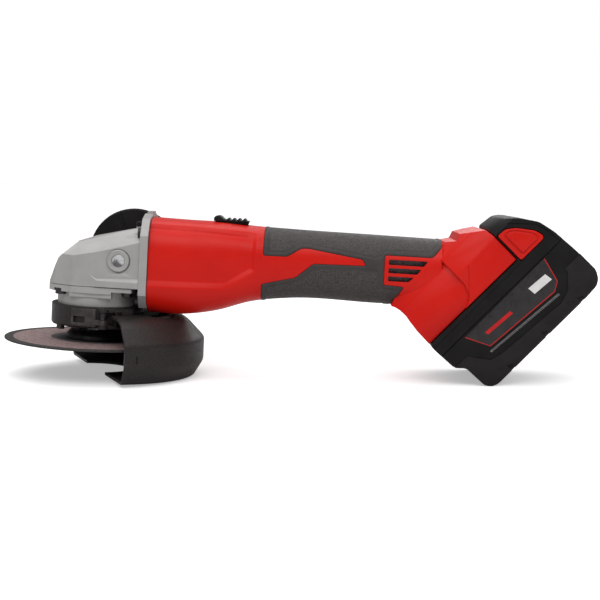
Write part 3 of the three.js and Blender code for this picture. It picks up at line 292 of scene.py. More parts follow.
# %% [markdown]
# The body and the latch buttons are nylon moulded in red, slightly satin, with the faint orange-peel of
# a spark-eroded mould. The grips are rubber moulded over it: smooth along their raised borders and
# grained where the hand holds them. A number stored on each point of the rubber says how far it is
# inside a grained field, and the shader reads it.
# %% Red nylon, rubber and black nylon
def red_nylon():
    material = new_finish("red_nylon", 0.36, corner=0.5, mirror_level=0.21)
    mottle(material, 30, (0.61, 0.007, 0.003), (0.67, 0.010, 0.004))
    set_gloss(material, patches(material, 6), 0.33, 0.42)
    add_grain(material, patches(material, 0.55, 2), 0.012)
    return material


red_nylon()
print("finishes", len(finishes))

# %% [markdown]
# Rubber mixes two looks by the number stored on its points: a calm one for the borders and a speckled,
# pebbled one for the fields. Black nylon and the bumpers' rubber are simpler relatives of the red.
# %% Rubbers and black nylon
def grip_rubber():
    material = new_finish("grip_rubber", 0.6, corner=0.5)
    nodes, links = material.node_tree.nodes, material.node_tree.links
    field = nodes.new("ShaderNodeAttribute")
    field.attribute_name = "field"
    grain = pebbles(material, 0.75)
    speckle = colour_by(material, patches(material, 0.6, 2), (0.036, 0.031, 0.030), (0.082, 0.074, 0.072),
                        0.38, 0.62)
    smooth = colour_by(material, patches(material, 9), (0.046, 0.041, 0.040), (0.056, 0.050, 0.049))
    blend = nodes.new("ShaderNodeMix")
    blend.data_type = "RGBA"
    links.new(field.outputs["Fac"], blend.inputs[0])
    links.new(smooth, blend.inputs[6])
    links.new(speckle, blend.inputs[7])
    set_colour(material, blend.outputs[2])
    height = nodes.new("ShaderNodeMath")
    height.operation = "MULTIPLY"
    links.new(grain, height.inputs[0])
    links.new(field.outputs["Fac"], height.inputs[1])
    add_grain(material, height.outputs[0], 0.16)
    set_gloss(material, patches(material, 3), 0.5, 0.66)
    return material


def black_nylon():
    material = new_finish("black_nylon", 0.45, mirror_level=0.14)
    mottle(material, 20, (0.008, 0.007, 0.007), (0.013, 0.012, 0.012))
    set_gloss(material, patches(material, 5), 0.4, 0.52)
    add_grain(material, patches(material, 0.5, 2), 0.014)
    return material


def bumper_rubber():
    material = new_finish("bumper_rubber", 0.6, mirror_level=0.16)
    mottle(material, 12, (0.015, 0.0135, 0.013), (0.022, 0.019, 0.019))
    set_gloss(material, patches(material, 3), 0.52, 0.66)
    add_grain(material, patches(material, 0.45, 2), 0.02)
    return material


grip_rubber()
black_nylon()
bumper_rubber()
print("finishes", len(finishes))

# %% [markdown]
# The metals differ in what was last done to them. The gear case is die cast and blasted, so it is pale,
# even and satin. The guard is pressed steel under a black powder coat, whose tiny grains sparkle in a
# broad highlight. Nuts and screws are blackened, shafts are ground, gears are oiled.
# %% Metals
def cast_alloy():
    material = new_finish("cast_alloy", 0.46, metal=0.25, corner=0.5)
    mottle(material, 14, (0.38, 0.372, 0.365), (0.43, 0.422, 0.414))
    set_gloss(material, patches(material, 4), 0.38, 0.5)
    add_grain(material, patches(material, 0.5, 2), 0.02)
    return material


def powder_coat():
    material = new_finish("powder_coat", 0.4, corner=0.6)
    speckle = colour_by(material, patches(material, 0.7, 2), (0.014, 0.012, 0.012), (0.038, 0.033, 0.031))
    set_colour(material, speckle)
    set_gloss(material, patches(material, 2.5), 0.36, 0.5)
    add_grain(material, patches(material, 0.6, 2), 0.03)
    return material


def plain_metal(name, dark, light, smooth, rough, metal=1.0, lines=None, grain=0.006, size=5):
    """A metal with slightly uneven gloss; lines stretches its pattern into fine machining marks."""
    material = new_finish(name, smooth, metal=metal)
    stretch = lines or (1, 1, 1)
    set_colour(material, colour_by(material, patches(material, size, 3, stretch), dark, light))
    set_gloss(material, patches(material, 2, 3, stretch), smooth, rough)
    add_grain(material, patches(material, 0.3, 2, stretch), grain)
    return material


cast_alloy()
powder_coat()
plain_metal("ground_steel", (0.50, 0.50, 0.51), (0.62, 0.62, 0.63), 0.18, 0.32, lines=(1, 1, 12))
plain_metal("oiled_steel", (0.24, 0.235, 0.225), (0.36, 0.355, 0.34), 0.22, 0.38)
plain_metal("lever_steel", (0.050, 0.044, 0.043), (0.085, 0.076, 0.074), 0.26, 0.4, metal=0.4)
plain_metal("black_oxide", (0.018, 0.017, 0.017), (0.040, 0.038, 0.037), 0.34, 0.5, metal=0.7)
plain_metal("screw_black", (0.035, 0.034, 0.034), (0.080, 0.078, 0.076), 0.28, 0.42, metal=0.85)
plain_metal("lacquered_sheet", (0.10, 0.10, 0.11), (0.20, 0.20, 0.21), 0.3, 0.45, lines=(9, 1, 1))
plain_metal("enamelled_copper", (0.42, 0.17, 0.07), (0.62, 0.28, 0.13), 0.24, 0.4, lines=(1, 7, 7),
            grain=0.04)
plain_metal("cooling_fins", (0.09, 0.09, 0.10), (0.14, 0.14, 0.15), 0.34, 0.5, metal=0.9)
plain_metal("woven_wire", (0.045, 0.045, 0.047), (0.16, 0.155, 0.155), 0.4, 0.55, metal=0.7, size=0.7)
plain_metal("machined_bore", (0.55, 0.55, 0.56), (0.72, 0.72, 0.73), 0.12, 0.24, lines=(1, 14, 1))
print("finishes", len(finishes))

# %% [markdown]
# The disc is abrasive grit in resin over a coarse woven net, with a printed ring on its upper face. The
# grit shows as a fine two-tone speckle. The battery's inside and the circuit boards are hardly seen, but
# the vents and an open slide let a little of them show.
# %% Abrasive, boards, cells and print
def speckled(name, dark, light, size, depth, roughness, corner=0.2):
    material = new_finish(name, roughness, corner=corner)
    set_colour(material, colour_by(material, patches(material, size, 4), dark, light, 0.36, 0.64))
    set_gloss(material, patches(material, 3), roughness - 0.07, roughness + 0.07)
    add_grain(material, patches(material, size * 0.8, 3), depth)
    return material


speckled("bare_abrasive", (0.016, 0.015, 0.015), (0.070, 0.064, 0.062), 0.5, 0.10, 0.72)
speckled("printed_abrasive", (0.17, 0.105, 0.103), (0.31, 0.23, 0.225), 1.6, 0.07, 0.62)
speckled("core_abrasive", (0.05, 0.045, 0.045), (0.11, 0.10, 0.10), 0.8, 0.08, 0.66)
speckled("solder_mask", (0.010, 0.085, 0.040), (0.016, 0.125, 0.060), 4, 0.01, 0.4)
speckled("cell_sleeve", (0.05, 0.16, 0.33), (0.07, 0.20, 0.40), 8, 0.01, 0.42)
speckled("label_print", (0.028, 0.025, 0.026), (0.036, 0.033, 0.034), 6, 0.006, 0.34)
speckled("red_print", (0.52, 0.010, 0.012), (0.60, 0.014, 0.016), 5, 0.006, 0.4)
speckled("white_print", (0.72, 0.70, 0.69), (0.80, 0.78, 0.77), 5, 0.006, 0.42)
speckled("grey_band", (0.16, 0.155, 0.155), (0.24, 0.235, 0.235), 0.7, 0.05, 0.5)
finish_of_slot = {
    "red_shell": "red_nylon", "grip_rubber": "grip_rubber", "cast_case": "cast_alloy",
    "bright_steel": "ground_steel", "gear_steel": "oiled_steel", "guard_steel": "powder_coat",
    "black_nut": "black_oxide", "black_plastic": "black_nylon", "dark_screw": "screw_black",
    "abrasive_disc": "bare_abrasive", "lamination": "lacquered_sheet",
    "winding_copper": "enamelled_copper", "circuit_board": "solder_mask",
    "control_block": "cooling_fins", "cell_sleeve": "cell_sleeve", "vent_mesh": "woven_wire",
}
slot_of = {part["node"]: part["material_slot"] for part in frame["record"]["subparts"]}
for node, part in frame["nodes"].items():
    part.data.materials.clear()
    part.data.materials.append(finishes[finish_of_slot[slot_of[node]]])
print("parts with a finish", len(frame["nodes"]))

# %% [markdown]
# A shell can be pushed and pulled point by point, or cut from solids as on a bench. Cutting suits a
# tool whose parts are mouldings with crisp outlines, so most pieces here are made from three kinds of
# blank, a prism, a turned blank and a loft, which are then joined and carved with the boolean modifier.
# Its manifold solver is quick even on fine meshes, as long as every blank is closed.
# %% Blanks
def blank(points, faces, place=tool):
    mesh = bpy.data.meshes.new("blank")
    mesh.from_pydata([tuple(point) for point in points], [], faces)
    mesh.transform(place)
    shape = bmesh.new()
    shape.from_mesh(mesh)
    bmesh.ops.recalc_face_normals(shape, faces=shape.faces)
    shape.to_mesh(mesh)
    shape.free()
    piece = bpy.data.objects.new("blank", mesh)
    bpy.context.scene.collection.objects.link(piece)
    return piece


def prism(axis, outline, low, high, place=tool):
    """An outline pushed along an axis. Outlines are (y, z) for x, (x, z) for y and (x, y) for z."""
    put = {"x": lambda a, b, d: (d, a, b),
           "y": lambda a, b, d: (a, d, b),
           "z": lambda a, b, d: (a, b, d)}[axis]
    count = len(outline)
    points = [put(a, b, d) for d in (low, high) for a, b in outline]
    sides = [(i, (i + 1) % count, count + (i + 1) % count, count + i) for i in range(count)]
    return blank(points, [tuple(range(count)), tuple(range(2 * count - 1, count - 1, -1)), *sides], place)


def loft(rings, place=tool):
    count = len(rings[0])
    points = [point for ring in rings for point in ring]
    faces = []
    for k in range(len(rings) - 1):
        for i in range(count):
            j = (i + 1) % count
            faces.append((k * count + i, k * count + j, (k + 1) * count + j, (k + 1) * count + i))
    last = (len(rings) - 1) * count
    faces += [tuple(range(count)), tuple(range(last + count - 1, last - 1, -1))]
    return blank(points, faces, place)

# %% [markdown]
# A lathe makes the round parts: a profile of radius and distance is spun about an axis. A rod is the
# simplest such profile, and a block the simplest prism.
# %% Turned blanks, rods and blocks
def turned(axis, profile, sides=96, middle=(0, 0, 0), place=tool):
    """A profile of (radius, distance along the axis) spun right round. It closes on itself or the axis."""
    solid_core = profile[0][0] == 0
    rings = profile[1:-1] if solid_core else profile
    put = {"x": lambda r, a, d: (d, r * math.cos(a), r * math.sin(a)),
           "y": lambda r, a, d: (r * math.cos(a), d, r * math.sin(a)),
           "z": lambda r, a, d: (r * math.cos(a), r * math.sin(a), d)}[axis]
    angles = [2 * math.pi * i / sides for i in range(sides)]
    points = [Vector(put(r, a, d)) + Vector(middle) for r, d in rings for a in angles]
    faces = []
    strips = len(rings) - 1 if solid_core else len(rings)
    for k in range(strips):
        a, b = k * sides, ((k + 1) % len(rings)) * sides
        faces += [(a + i, a + (i + 1) % sides, b + (i + 1) % sides, b + i) for i in range(sides)]
    if solid_core:
        top = (len(rings) - 1) * sides
        faces += [tuple(range(sides)), tuple(range(top, top + sides))]
    return blank(points, faces, place)


def rod(axis, radius, low, high, middle=(0, 0, 0), sides=48, place=tool):
    return turned(axis, [(0, low), (radius, low), (radius, high), (0, high)], sides, middle, place)


def block(x, y, z, place=tool):
    return prism("z", [(x[0], y[0]), (x[1], y[0]), (x[1], y[1]), (x[0], y[1])], *z, place)


def on_side(outline, side, one, other, place=pack):
    """A prism on one side of the tool, between two distances from its middle plane."""
    return prism("y", outline, *sorted((side * one, side * other)), place)


print("blanks", [maker.__name__ for maker in (prism, loft, turned, rod, block, on_side)])

# %% [markdown]
# The helpers below join, carve and keep, round the straight edges of a blank before it is carved, and
# mirror a piece to the tool's other side. A finished piece is then shaded smooth except at its edges,
# given its finish and tied to the body it moves with.
# %% Joining, carving and finishing a piece
def carve(piece, how, *others):
    """Joins others to the piece, or cuts them from it, or keeps what they share. The others are used up."""
    for other in others:
        step = piece.modifiers.new("step", "BOOLEAN")
        step.operation, step.solver, step.object = how, "MANIFOLD", other
    bpy.context.view_layer.update()
    made = bpy.data.meshes.new_from_object(piece.evaluated_get(bpy.context.evaluated_depsgraph_get()))
    piece.modifiers.clear()
    piece.data = made
    for other in others:
        bpy.data.objects.remove(other)
    return piece


def join(piece, *others):
    return carve(piece, "UNION", *others)


def cut(piece, *others):
    return carve(piece, "DIFFERENCE", *others)


def keep(piece, *others):
    return carve(piece, "INTERSECT", *others)


print("ways to carve", [how.__name__ for how in (join, cut, keep)])

# %% [markdown]
# The tool is the same on both sides, so a piece made for one side is flipped for the other. Straight
# edges are rounded before carving, because carving leaves small faces that cannot be rounded.
# %% Copies, twins and rounded edges
def copy_of(piece):
    twin = bpy.data.objects.new("blank", piece.data.copy())
    bpy.context.scene.collection.objects.link(twin)
    return twin


def mirrored(piece):
    """A twin on the other side of the tool."""
    twin = copy_of(piece)
    flip = Matrix.Scale(-1, 4, (0, 1, 0))
    twin.data.transform(tool @ flip @ tool.inverted())
    twin.data.flip_normals()
    return twin


def rounded_edges(piece, width, angle=25, segments=3):
    """Rounds the edges of a blank with flat faces. It comes before carving, which leaves small faces."""
    step = piece.modifiers.new("round", "BEVEL")
    step.width, step.segments, step.angle_limit = width * MM, segments, math.radians(angle)
    step.limit_method = "ANGLE"
    return carve(piece, "UNION")


def merged_flats(piece, angle=1.0):
    """Joins the triangles of each flat face into one, so that only real edges are left to round."""
    shape = bmesh.new()
    shape.from_mesh(piece.data)
    bmesh.ops.remove_doubles(shape, verts=shape.verts, dist=1e-6)
    bmesh.ops.dissolve_limit(shape, angle_limit=math.radians(angle), verts=shape.verts, edges=shape.edges)
    shape.to_mesh(piece.data)
    shape.free()
    return piece

# %% [markdown]
# A finished piece is smooth except at its real edges. It is told which body it rides on, and which parts
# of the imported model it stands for.
# %% Finishing a piece
def finished(piece, name, finish, body, *nodes, slot=None, smooth=32):
    piece.name = piece.data.name = name
    piece.data.shade_smooth()
    piece.data.set_sharp_from_angle(angle=math.radians(smooth))
    piece.data.materials.clear()
    piece.data.materials.append(finishes[finish])
    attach(piece, body)
    if nodes:
        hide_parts(*nodes)
    print(name, len(piece.data.polygons), "faces")
    return piece


print("finishes that a piece can be given", len(finishes))

# %% [markdown]
# Outlines need round corners, and the moulded relief of the body needs to know how far a point lies
# inside an outline. Both are small pieces of plane geometry.
# %% Outlines
def round_corners(outline, radius, steps=4):
    """Each corner becomes a short curve that starts and ends radius away, or less on a short side."""
    points = [Vector(point) for point in outline]
    made = []
    for i, corner in enumerate(points):
        before, after = points[i - 1] - corner, points[(i + 1) % len(points)] - corner
        reach = min(radius, before.length * 0.45, after.length * 0.45)
        start, end = corner + before.normalized() * reach, corner + after.normalized() * reach
        for step in range(steps + 1):
            t = step / steps
            made.append(tuple(start * (1 - t) ** 2 + corner * 2 * t * (1 - t) + end * t ** 2))
    return made

# %% [markdown]
# Relief needs a depth: how far a point lies inside an outline. It is the distance to the nearest edge,
# with its sign from counting how often a ray crosses the outline.
# %% Depth inside an outline
def depth_inside(outline, a, b):
    """How far each point (a, b) lies inside an outline, negative outside."""
    nearest = np.full(a.shape, 1e9)
    inside = np.zeros(a.shape, bool)
    for i, (ax, ay) in enumerate(outline):
        bx, by = outline[(i + 1) % len(outline)]
        dx, dy = bx - ax, by - ay
        t = np.clip(((a - ax) * dx + (b - ay) * dy) / (dx * dx + dy * dy), 0, 1)
        nearest = np.minimum(nearest, np.hypot(a - ax - t * dx, b - ay - t * dy))
        crosses = ((ay > b) != (by > b)) & (a < (bx - ax) * (b - ay) / (by - ay if by != ay else 1e-9) + ax)
        inside ^= crosses
    return np.where(inside, nearest, -nearest)


def eased(value, low, high):
    t = np.clip((value - low) / (high - low), 0, 1)
    return t * t * (3 - 2 * t)


def grown(outline, margin):
    """The outline moved outwards by margin, corner by corner."""
    points = [Vector(point) for point in outline]
    area = sum(a.x * b.y - b.x * a.y for a, b in zip(points, points[1:] + points[:1]))
    side = 1 if area > 0 else -1
    made = []
    for i, corner in enumerate(points):
        before = (corner - points[i - 1]).normalized()
        after = (points[(i + 1) % len(points)] - corner).normalized()
        out = (Vector((before.y, -before.x)) + Vector((after.y, -after.x))) * side
        reach = margin / max(0.35, out.length / 2)
        made.append(tuple(corner + out.normalized() * reach))
    return made


square = [(0, 0), (10, 0), (10, 10), (0, 10)]
print("a 10 mm square with round corners has", len(round_corners(square, 2)), "points")
print("grown by 1 mm it is", round(grown(square, 1)[1][0] - grown(square, 1)[0][0], 2), "mm across")

# %% [markdown]
# The body is one smooth form from the gear case to the battery foot. Its cross-sections are rounded
# squares that change size along the body, so a loft of many rings follows it better than any carved
# block. The points of the loft are then pushed in where the moulding has a sunk panel: a chamfer leads
# down to it from an outer outline to an inner one, and it catches the light along its lower edge.
# %% The body's form
shell_wall = 2.8
rubber_depth = 2.0
half_gap = 0.15
body_front = 36.5
body_sections = [  # x, top, bottom, half width, squareness
    (36.5, 86.2, 21.7, 32.6, 3.2), (60, 85.6, 21.6, 32.8, 3.2), (82, 85.4, 25.2, 31.8, 3.2),
    (106, 83.9, 32.6, 27.8, 2.8), (130, 83.2, 36, 25.4, 2.6), (190, 82.3, 36, 25.8, 2.7),
    (232, 81.6, 36, 28.6, 3),
]
panel_outer = [(30, 40.9), (88.1, 41.6), (107.9, 54.6), (108.3, 79.5), (103, 80.4), (64, 82.2), (30, 82.6)]
panel_inner = [(30, 45.6), (87.2, 46.0), (104.6, 57.2), (104.9, 76.4), (102, 78.2), (64, 80.4), (30, 81.0)]
panel_depth = 2.0


def body_section(x):
    """The section's numbers at x, on a smooth curve through the known sections."""
    known = np.array(body_sections)
    slopes = np.gradient(known[:, 1:], known[:, 0], axis=0)
    k = int(np.clip(np.searchsorted(known[:, 0], x) - 1, 0, len(known) - 2))
    width = known[k + 1, 0] - known[k, 0]
    t = (x - known[k, 0]) / width
    a, b = known[k, 1:], known[k + 1, 1:]
    return (a * (1 + 2 * t) * (1 - t) ** 2 + b * t * t * (3 - 2 * t)
            + width * (slopes[k] * t * (1 - t) ** 2 - slopes[k + 1] * t * t * (1 - t)))


def body_rings(inset, step, count, start=body_front, end=232.0):
    rings = []
    for x in np.linspace(start, end, round((end - start) / step) + 1):
        top, bottom, half, square = body_section(max(x, body_front))
        angle = np.linspace(0, 2 * math.pi, count, endpoint=False)
        across, tall = np.cos(angle), np.sin(angle)
        y = (half - inset) * np.sign(across) * np.abs(across) ** (2 / square)
        z = (top + bottom) / 2 + ((top - bottom) / 2 - inset) * np.sign(tall) * np.abs(tall) ** (2 / square)
        rings.append(np.column_stack([np.full(count, x), y, z]))
    return np.array(rings)


def outward(rings):
    """Directions square to each ring, in its own plane."""
    along = np.roll(rings, -1, axis=1) - np.roll(rings, 1, axis=1)
    out = np.stack([np.zeros(rings.shape[:2]), along[..., 2], -along[..., 1]], axis=-1)
    return out / np.maximum(np.linalg.norm(out, axis=-1, keepdims=True), 1e-9)


def sunk_panel(x, z):
    to_outer, to_inner = depth_inside(panel_outer, x, z), -depth_inside(panel_inner, x, z)
    share = np.where(to_inner <= 0, 1.0, np.clip(to_outer / np.maximum(to_outer + to_inner, 1e-6), 0, 1))
    return -panel_depth * np.where(to_outer > 0, share, 0.0)


def body_form(inset=0.0, step=4.0, count=72, relief=None, **ends):
    rings = body_rings(inset, step, count, **ends)
    if relief is not None:
        rings = rings + outward(rings) * relief(rings[..., 0], rings[..., 2])[..., None]
    return loft(rings)


print("body's width and height at x 60, mm", [round(2 * body_section(60)[2], 1),
                                              round(body_section(60)[0] - body_section(60)[1], 1)])

# %% [markdown]
# The foot holds the battery. Its side is a flat panel near the latch and narrows towards the heel, and
# its shoulders slope in to meet the body. Flat faces with rounded edges describe it best, so it is made
# from prisms that cross, rounded, and joined to the lofted body.
# %% The foot's form
foot_length = 79.0
foot_half = 37.0
foot_side = [(-1.2, 0.3), (79, 0.3), (79, 22.5), (78.2, 28), (64.7, 37.4), (60, 35.4), (54.2, 40), (20, 44),
             (-1.6, 35), (-0.3, 32.5), (0.7, 29), (0.9, 24), (0.2, 20), (-0.8, 12)]
rail_half, rail_lip_half = 19.0, 22.5
rail_top, rail_lip = 9.0, 6.0
rail_start = 13.0
sliding = 0.5


def both_ways(points):
    return points + [(-a, b) for a, b in reversed(points)]


def foot_form():
    """Two slabs of different width cross the side outline, and a raised panel lies at the latch end."""
    crest = [(20, 39), (20, 50)]
    latch_end = keep(prism("y", foot_side, -50, 50, pack),
                     prism("x", both_ways([(36, -2), (36, 20.2), (30, 33), *crest]), 43.4, 90, pack))
    heel = keep(prism("y", foot_side, -50, 50, pack),
                prism("x", both_ways([(34.4, -2), (34.4, 12.4), (29, 28), *crest]), -10, 60, pack))
    ramp = [(43.1, 12.6), (43.7, 17), (48.5, 20.2), (60, 20.2), (60, -5), (36, -5)]
    ramp = keep(prism("y", ramp, -36, 36, pack), prism("y", foot_side, -50, 50, pack))
    raised = [(32.4, 0.3), (38.9, 3.7), (52.1, 18), (53.5, 20), (79, 22), (79, 0.3)]
    panel = prism("y", raised, -foot_half, foot_half, pack)
    return join(rounded_edges(latch_end, 1.0), rounded_edges(heel, 1.2), rounded_edges(ramp, 0.8),
                rounded_edges(panel, 0.7))

# %% [markdown]
# The foot is hollow where the battery's rails slide in. The ways for the neck and the lips of the rails
# have a sliding gap, and a room above them takes the wiring.
# %% The foot's hollow
def foot_hollow():
    start, end, top = rail_start - 6, foot_length + 5, rail_top + 0.6
    neck_half, lip_half = rail_half + sliding, rail_lip_half + sliding
    neck = block((start, end), (-neck_half, neck_half), (-2, rail_lip + 1), pack)
    lips = block((start, end), (-lip_half, lip_half), (rail_lip - sliding, top), pack)
    room = [(4, top + 2.4), (foot_length - 4, top + 2.4), (foot_length - 4, 22), (64, 31), (40, 34), (8, 31)]
    wiring = prism("y", room, -22, 22, pack)
    lead_hole = block((start, start + 5), (-12, 12), (top - 1, top + 3), pack)
    return join(neck, lips, wiring, lead_hole)


print("foot's length and width, mm", [foot_length, 2 * foot_half])

# %% [markdown]
# The rubber lies in a bed sunk into the nylon. One outline per side bounds it, with a wedge of bare
# nylon left between two bands, and a frame left bare round the vents. The same outline cuts the bed and
# the rubber, so the two always meet with a fine gap.
# %% Outlines of the grip and the vents
rubber_outline = [
    (112.9, 95), (112.9, 65.8), (128.7, 65.8), (137.8, 71.6), (142.4, 71.9), (179.5, 66.5), (181.7, 62.1),
    (146.5, 61.6), (134.9, 51.7), (112.6, 46.3), (112.3, 20), (196, 20), (200.2, 36.6), (207.6, 49.6),
    (193.8, 50.1), (193.8, 70.3), (225.6, 70.3), (231, 76.4), (234, 84), (234, 95),
]
upper_field = [(116.2, 100), (116.6, 68.3), (127.1, 68.5), (137.9, 74.5), (143, 74.6), (188.6, 67.9),
               (191.9, 69.9), (193.6, 73.1), (223.9, 73.7), (228.4, 77.6), (229.8, 84), (229.8, 100)]
lower_field = [(115.7, 10), (116.1, 44.4), (136.6, 49.4), (147.7, 59), (185.7, 59.4), (189.3, 58.8),
               (190.8, 50.4), (194.3, 47.5), (200.9, 47.4), (195.6, 38), (192, 30), (191, 10)]
vent_start = 196.8
vent_slots = [(67.5, 63.9, 222.6, 220.2), (61.9, 58.4, 218.7, 216), (56.3, 53, 213.8, 210.5)]
rubber_edge = round_corners(rubber_outline, 1.6)
vent_outlines = [round_corners([(vent_start, top), (top_end, top), (low_end, low), (vent_start, low)], 0.8)
                 for top, low, top_end, low_end in vent_slots]
screw_spots = [(114, 42), (170, 42), (108, 71), (226, 42)]
collar_swing = 38.5


def rubber_relief(x, z):
    """Border bands stand a little proud; a fine groove runs round each grained field, which sits lower."""
    field = np.maximum(depth_inside(upper_field, x, z), depth_inside(lower_field, x, z))
    edge = depth_inside(rubber_outline, x, z)
    groove = -0.45 * np.exp(-((field + 0.1) / 0.45) ** 2)
    border = 0.35 * eased(edge, -0.2, 0.7)
    return border - 0.3 * eased(field, -0.3, 0.6) + groove


def grip_side():
    """The rubber of the side without the handle."""
    skin = body_form(0, 0.8, 300, rubber_relief, start=108.0)
    skin = keep(skin, prism("y", rubber_edge, -60, -half_gap))
    foot = foot_form()
    return cut(skin, body_form(rubber_depth), foot)


# %% [markdown]
# A housing is two shells that meet at the middle, as clamshells do, so that the motor and the wiring can
# be laid in and closed up. One hollow shell is made for both, with beds for the rubber, the vents, the slot
# of the switch and the room that the guard's ears need as they turn. It is then halved, with a fine gap.
# %% Housing form
def housing_form():
    shell = join(body_form(0, 0.8, 320, sunk_panel), foot_form())
    hollow = join(body_form(shell_wall, start=30.0, end=229.0), foot_hollow())
    shell = cut(shell, hollow)
    for side in (-1, 1):
        bed = on_side(grown(rubber_edge, 0.25), side, 60, 0, tool)
        bed = cut(bed, body_form(rubber_depth + 0.3, start=100.0), foot_form())
        shell = cut(shell, bed)
    vents = [prism("y", outline, -60, 60) for outline in vent_outlines]
    stem_slot = block((84.5, 99.5), (-4.5, 4.5), (70, 100))
    collar_way = rod("z", collar_swing, 0, 25.5, sides=96)
    return cut(shell, *vents, stem_slot, collar_way)


def screw_head_ways():
    """Straight ways for the heads of the housing's screws, from the far side."""
    return [rod("y", 3.3, 10.5, 60, (x, 0, z)) for x, z in screw_spots]


def grained(piece):
    """Stores on each point how far it is inside a grained field."""
    points = np.array([tool.inverted() @ point.co for point in piece.data.vertices])
    field = np.maximum(depth_inside(upper_field, points[:, 0], points[:, 2]),
                       depth_inside(lower_field, points[:, 0], points[:, 2]))
    share = eased(field, 0.0, 0.9).astype(np.float32)
    piece.data.attributes.new("field", "FLOAT", "POINT").data.foreach_set("value", share)

# %% [markdown]
# The grips are cut from the same form as the housing. The far one is a mirrored copy of the near one,
# with straight ways for the screw heads. The housing is then halved.
# %% Grips and housing halves
grip_near = grip_side()
grip_far = mirrored(grip_near)
grip_far = cut(grip_far, *screw_head_ways())
finished(grip_near, "grip_left_rubber", "grip_rubber", "body", "grip_left", smooth=40)
finished(grip_far, "grip_right_rubber", "grip_rubber", "body", "grip_right", smooth=40)
grained(grip_near)
grained(grip_far)

housing = housing_form()
near_half = block((-50, 400), (-90, -half_gap), (-90, 200))
far_half = block((-50, 400), (half_gap, 90), (-90, 200))
housing_far = keep(copy_of(housing), far_half)
housing_near = keep(housing, near_half)
housing_far = cut(housing_far, *screw_head_ways())
finished(housing_near, "housing_left_shell", "red_nylon", "body", "housing_left")
finished(housing_far, "housing_right_shell", "red_nylon", "body", "housing_right")

# %% [markdown]
# The slide switch is a small black slider with a thumb rest at its front and four ridges behind it. Its
# outline from the side tells everything, so it is one prism with rounded edges on a short stem.
# %% Slide switch
slider_start, slider_end = 77.5, 101.5


def slide_switch():
    x = slider_start
    outline = [(x, 86.1), (x - 0.1, 88.2), (x + 0.8, 89.4), (x + 2.2, 89.8), (x + 4.2, 89.7), (x + 5.4, 88.9),
               (x + 6.6, 87.7), (x + 8, 87.3)]
    for ridge in range(4):
        start = x + 8.6 + ridge * 3.6
        outline += [(start, 87.2), (start + 0.7, 88.5), (start + 1.9, 88.5), (start + 2.8, 87.1)]
    outline += [(slider_end, 86.9), (slider_end, 86.1)]
    cap = rounded_edges(prism("y", outline, -8, 8), 0.35, 30, 2)
    skirt = rounded_edges(block((x + 1, slider_end - 0.6), (-7, 7), (84.6, 86.8)), 0.3, 30, 2)
    stem = block((92, 99), (-4, 4), (79.9, 87))
    return join(cap, skirt, stem)


finished(slide_switch(), "thumb_slider", "black_nylon", "slide_switch", "switch_slider")

# %% [markdown]
# The gear case is one casting. The imported part has its facets and its bores, so a copy of it is the
# blank: its flat faces are merged, and the cast details are added, which are a ledge along its foot that
# runs into the body's panel, a ring round each handle socket and a groove round the foot of each ring. The
# bores are machined after casting, so their faces shine.
# %% Gear case
handle_x, axle_z = 16.9, 57.0
socket_radius = 4.2
boss_radius = 7.4
case_half = 31.0


def cast_ledge(side):
    """A low step along the casting's foot, chamfered on top, that tapers out towards the nose."""
    rows = [(-9.5, 52.5, 0.05), (3.0, 43.6, 1.3), (30.8, 43.6, 1.6)]
    rings = []
    for x, top, proud in rows:
        wall = case_half - 1.0 - max(0, (6 - x)) * 0.175 + min(1, max(0, x - 2) / 28.8)
        outer = wall + proud
        rings.append([(x, side * (wall - 4), 38.9), (x, side * outer, 38.9), (x, side * outer, top - 0.6),
                      (x, side * (wall - 0.2), top + 1.9), (x, side * (wall - 4), top + 1.9)])
    return loft(rings)


def socket_ring(side):
    face = case_half + 1.2
    profile = [(socket_radius + 0.2, 24.0), (boss_radius, 24.0), (boss_radius, face - 0.5),
               (boss_radius - 0.4, face + 0.1), (boss_radius - 1.4, face + 0.1),
               (boss_radius - 1.9, face - 0.4), (socket_radius + 0.9, face - 0.4),
               (socket_radius + 0.2, face - 1.1)]
    return turned("y", [(r, side * d) for r, d in profile], 96, (handle_x, 0, axle_z))


def boss_groove(side):
    face = case_half + 1.2
    return turned("y", [(boss_radius, side * (face - 2.4)), (boss_radius + 0.55, side * (face - 1.6)),
                        (boss_radius + 0.9, side * (face + 3)), (boss_radius, side * (face + 3))],
                  96, (handle_x, 0, axle_z))

# %% [markdown]
# The casting is blasted all over and its bores are cut afterwards, so the faces inside them get the
# brighter, machined finish as a second material.
# %% Machined bores
def shiny_bores(piece, is_bore):
    """Faces inside the machined bores get a second material."""
    piece.data.materials.append(finishes["machined_bore"])
    back = tool.inverted()
    for face in piece.data.polygons:
        if is_bore(back @ face.center):
            face.material_index = 1


def gear_case():
    case = merged_flats(copy_of(frame["nodes"]["gear_case"]))
    case = join(case, *(cast_ledge(side) for side in (-1, 1)))
    case = cut(case, *(boss_groove(side) for side in (-1, 1)))
    return join(case, *(socket_ring(side) for side in (-1, 1)))


casting = finished(gear_case(), "gear_case_casting", "cast_alloy", "body", "gear_case", smooth=6)
shiny_bores(casting, lambda at: math.hypot(at.x - handle_x, at.z - axle_z) < socket_radius + 0.5
            and case_half - 14 < abs(at.y) < case_half - 2)

# %% [markdown]
# The bearing plate closes the gear case from below. It is cast like the case, stepped in at its rim,
# and it carries the smooth neck that the guard turns on. Four dark screws sit in its pockets.
# %% Bearing plate
neck_radius = 27.6


def bearing_plate():
    plate = merged_flats(copy_of(frame["nodes"]["bearing_plate"]))
    neck = turned("z", [(26.4, 10.4), (neck_radius, 11.2), (neck_radius, 33.6), (17, 33.6), (17, 10.4)], 128)
    return join(plate, neck)


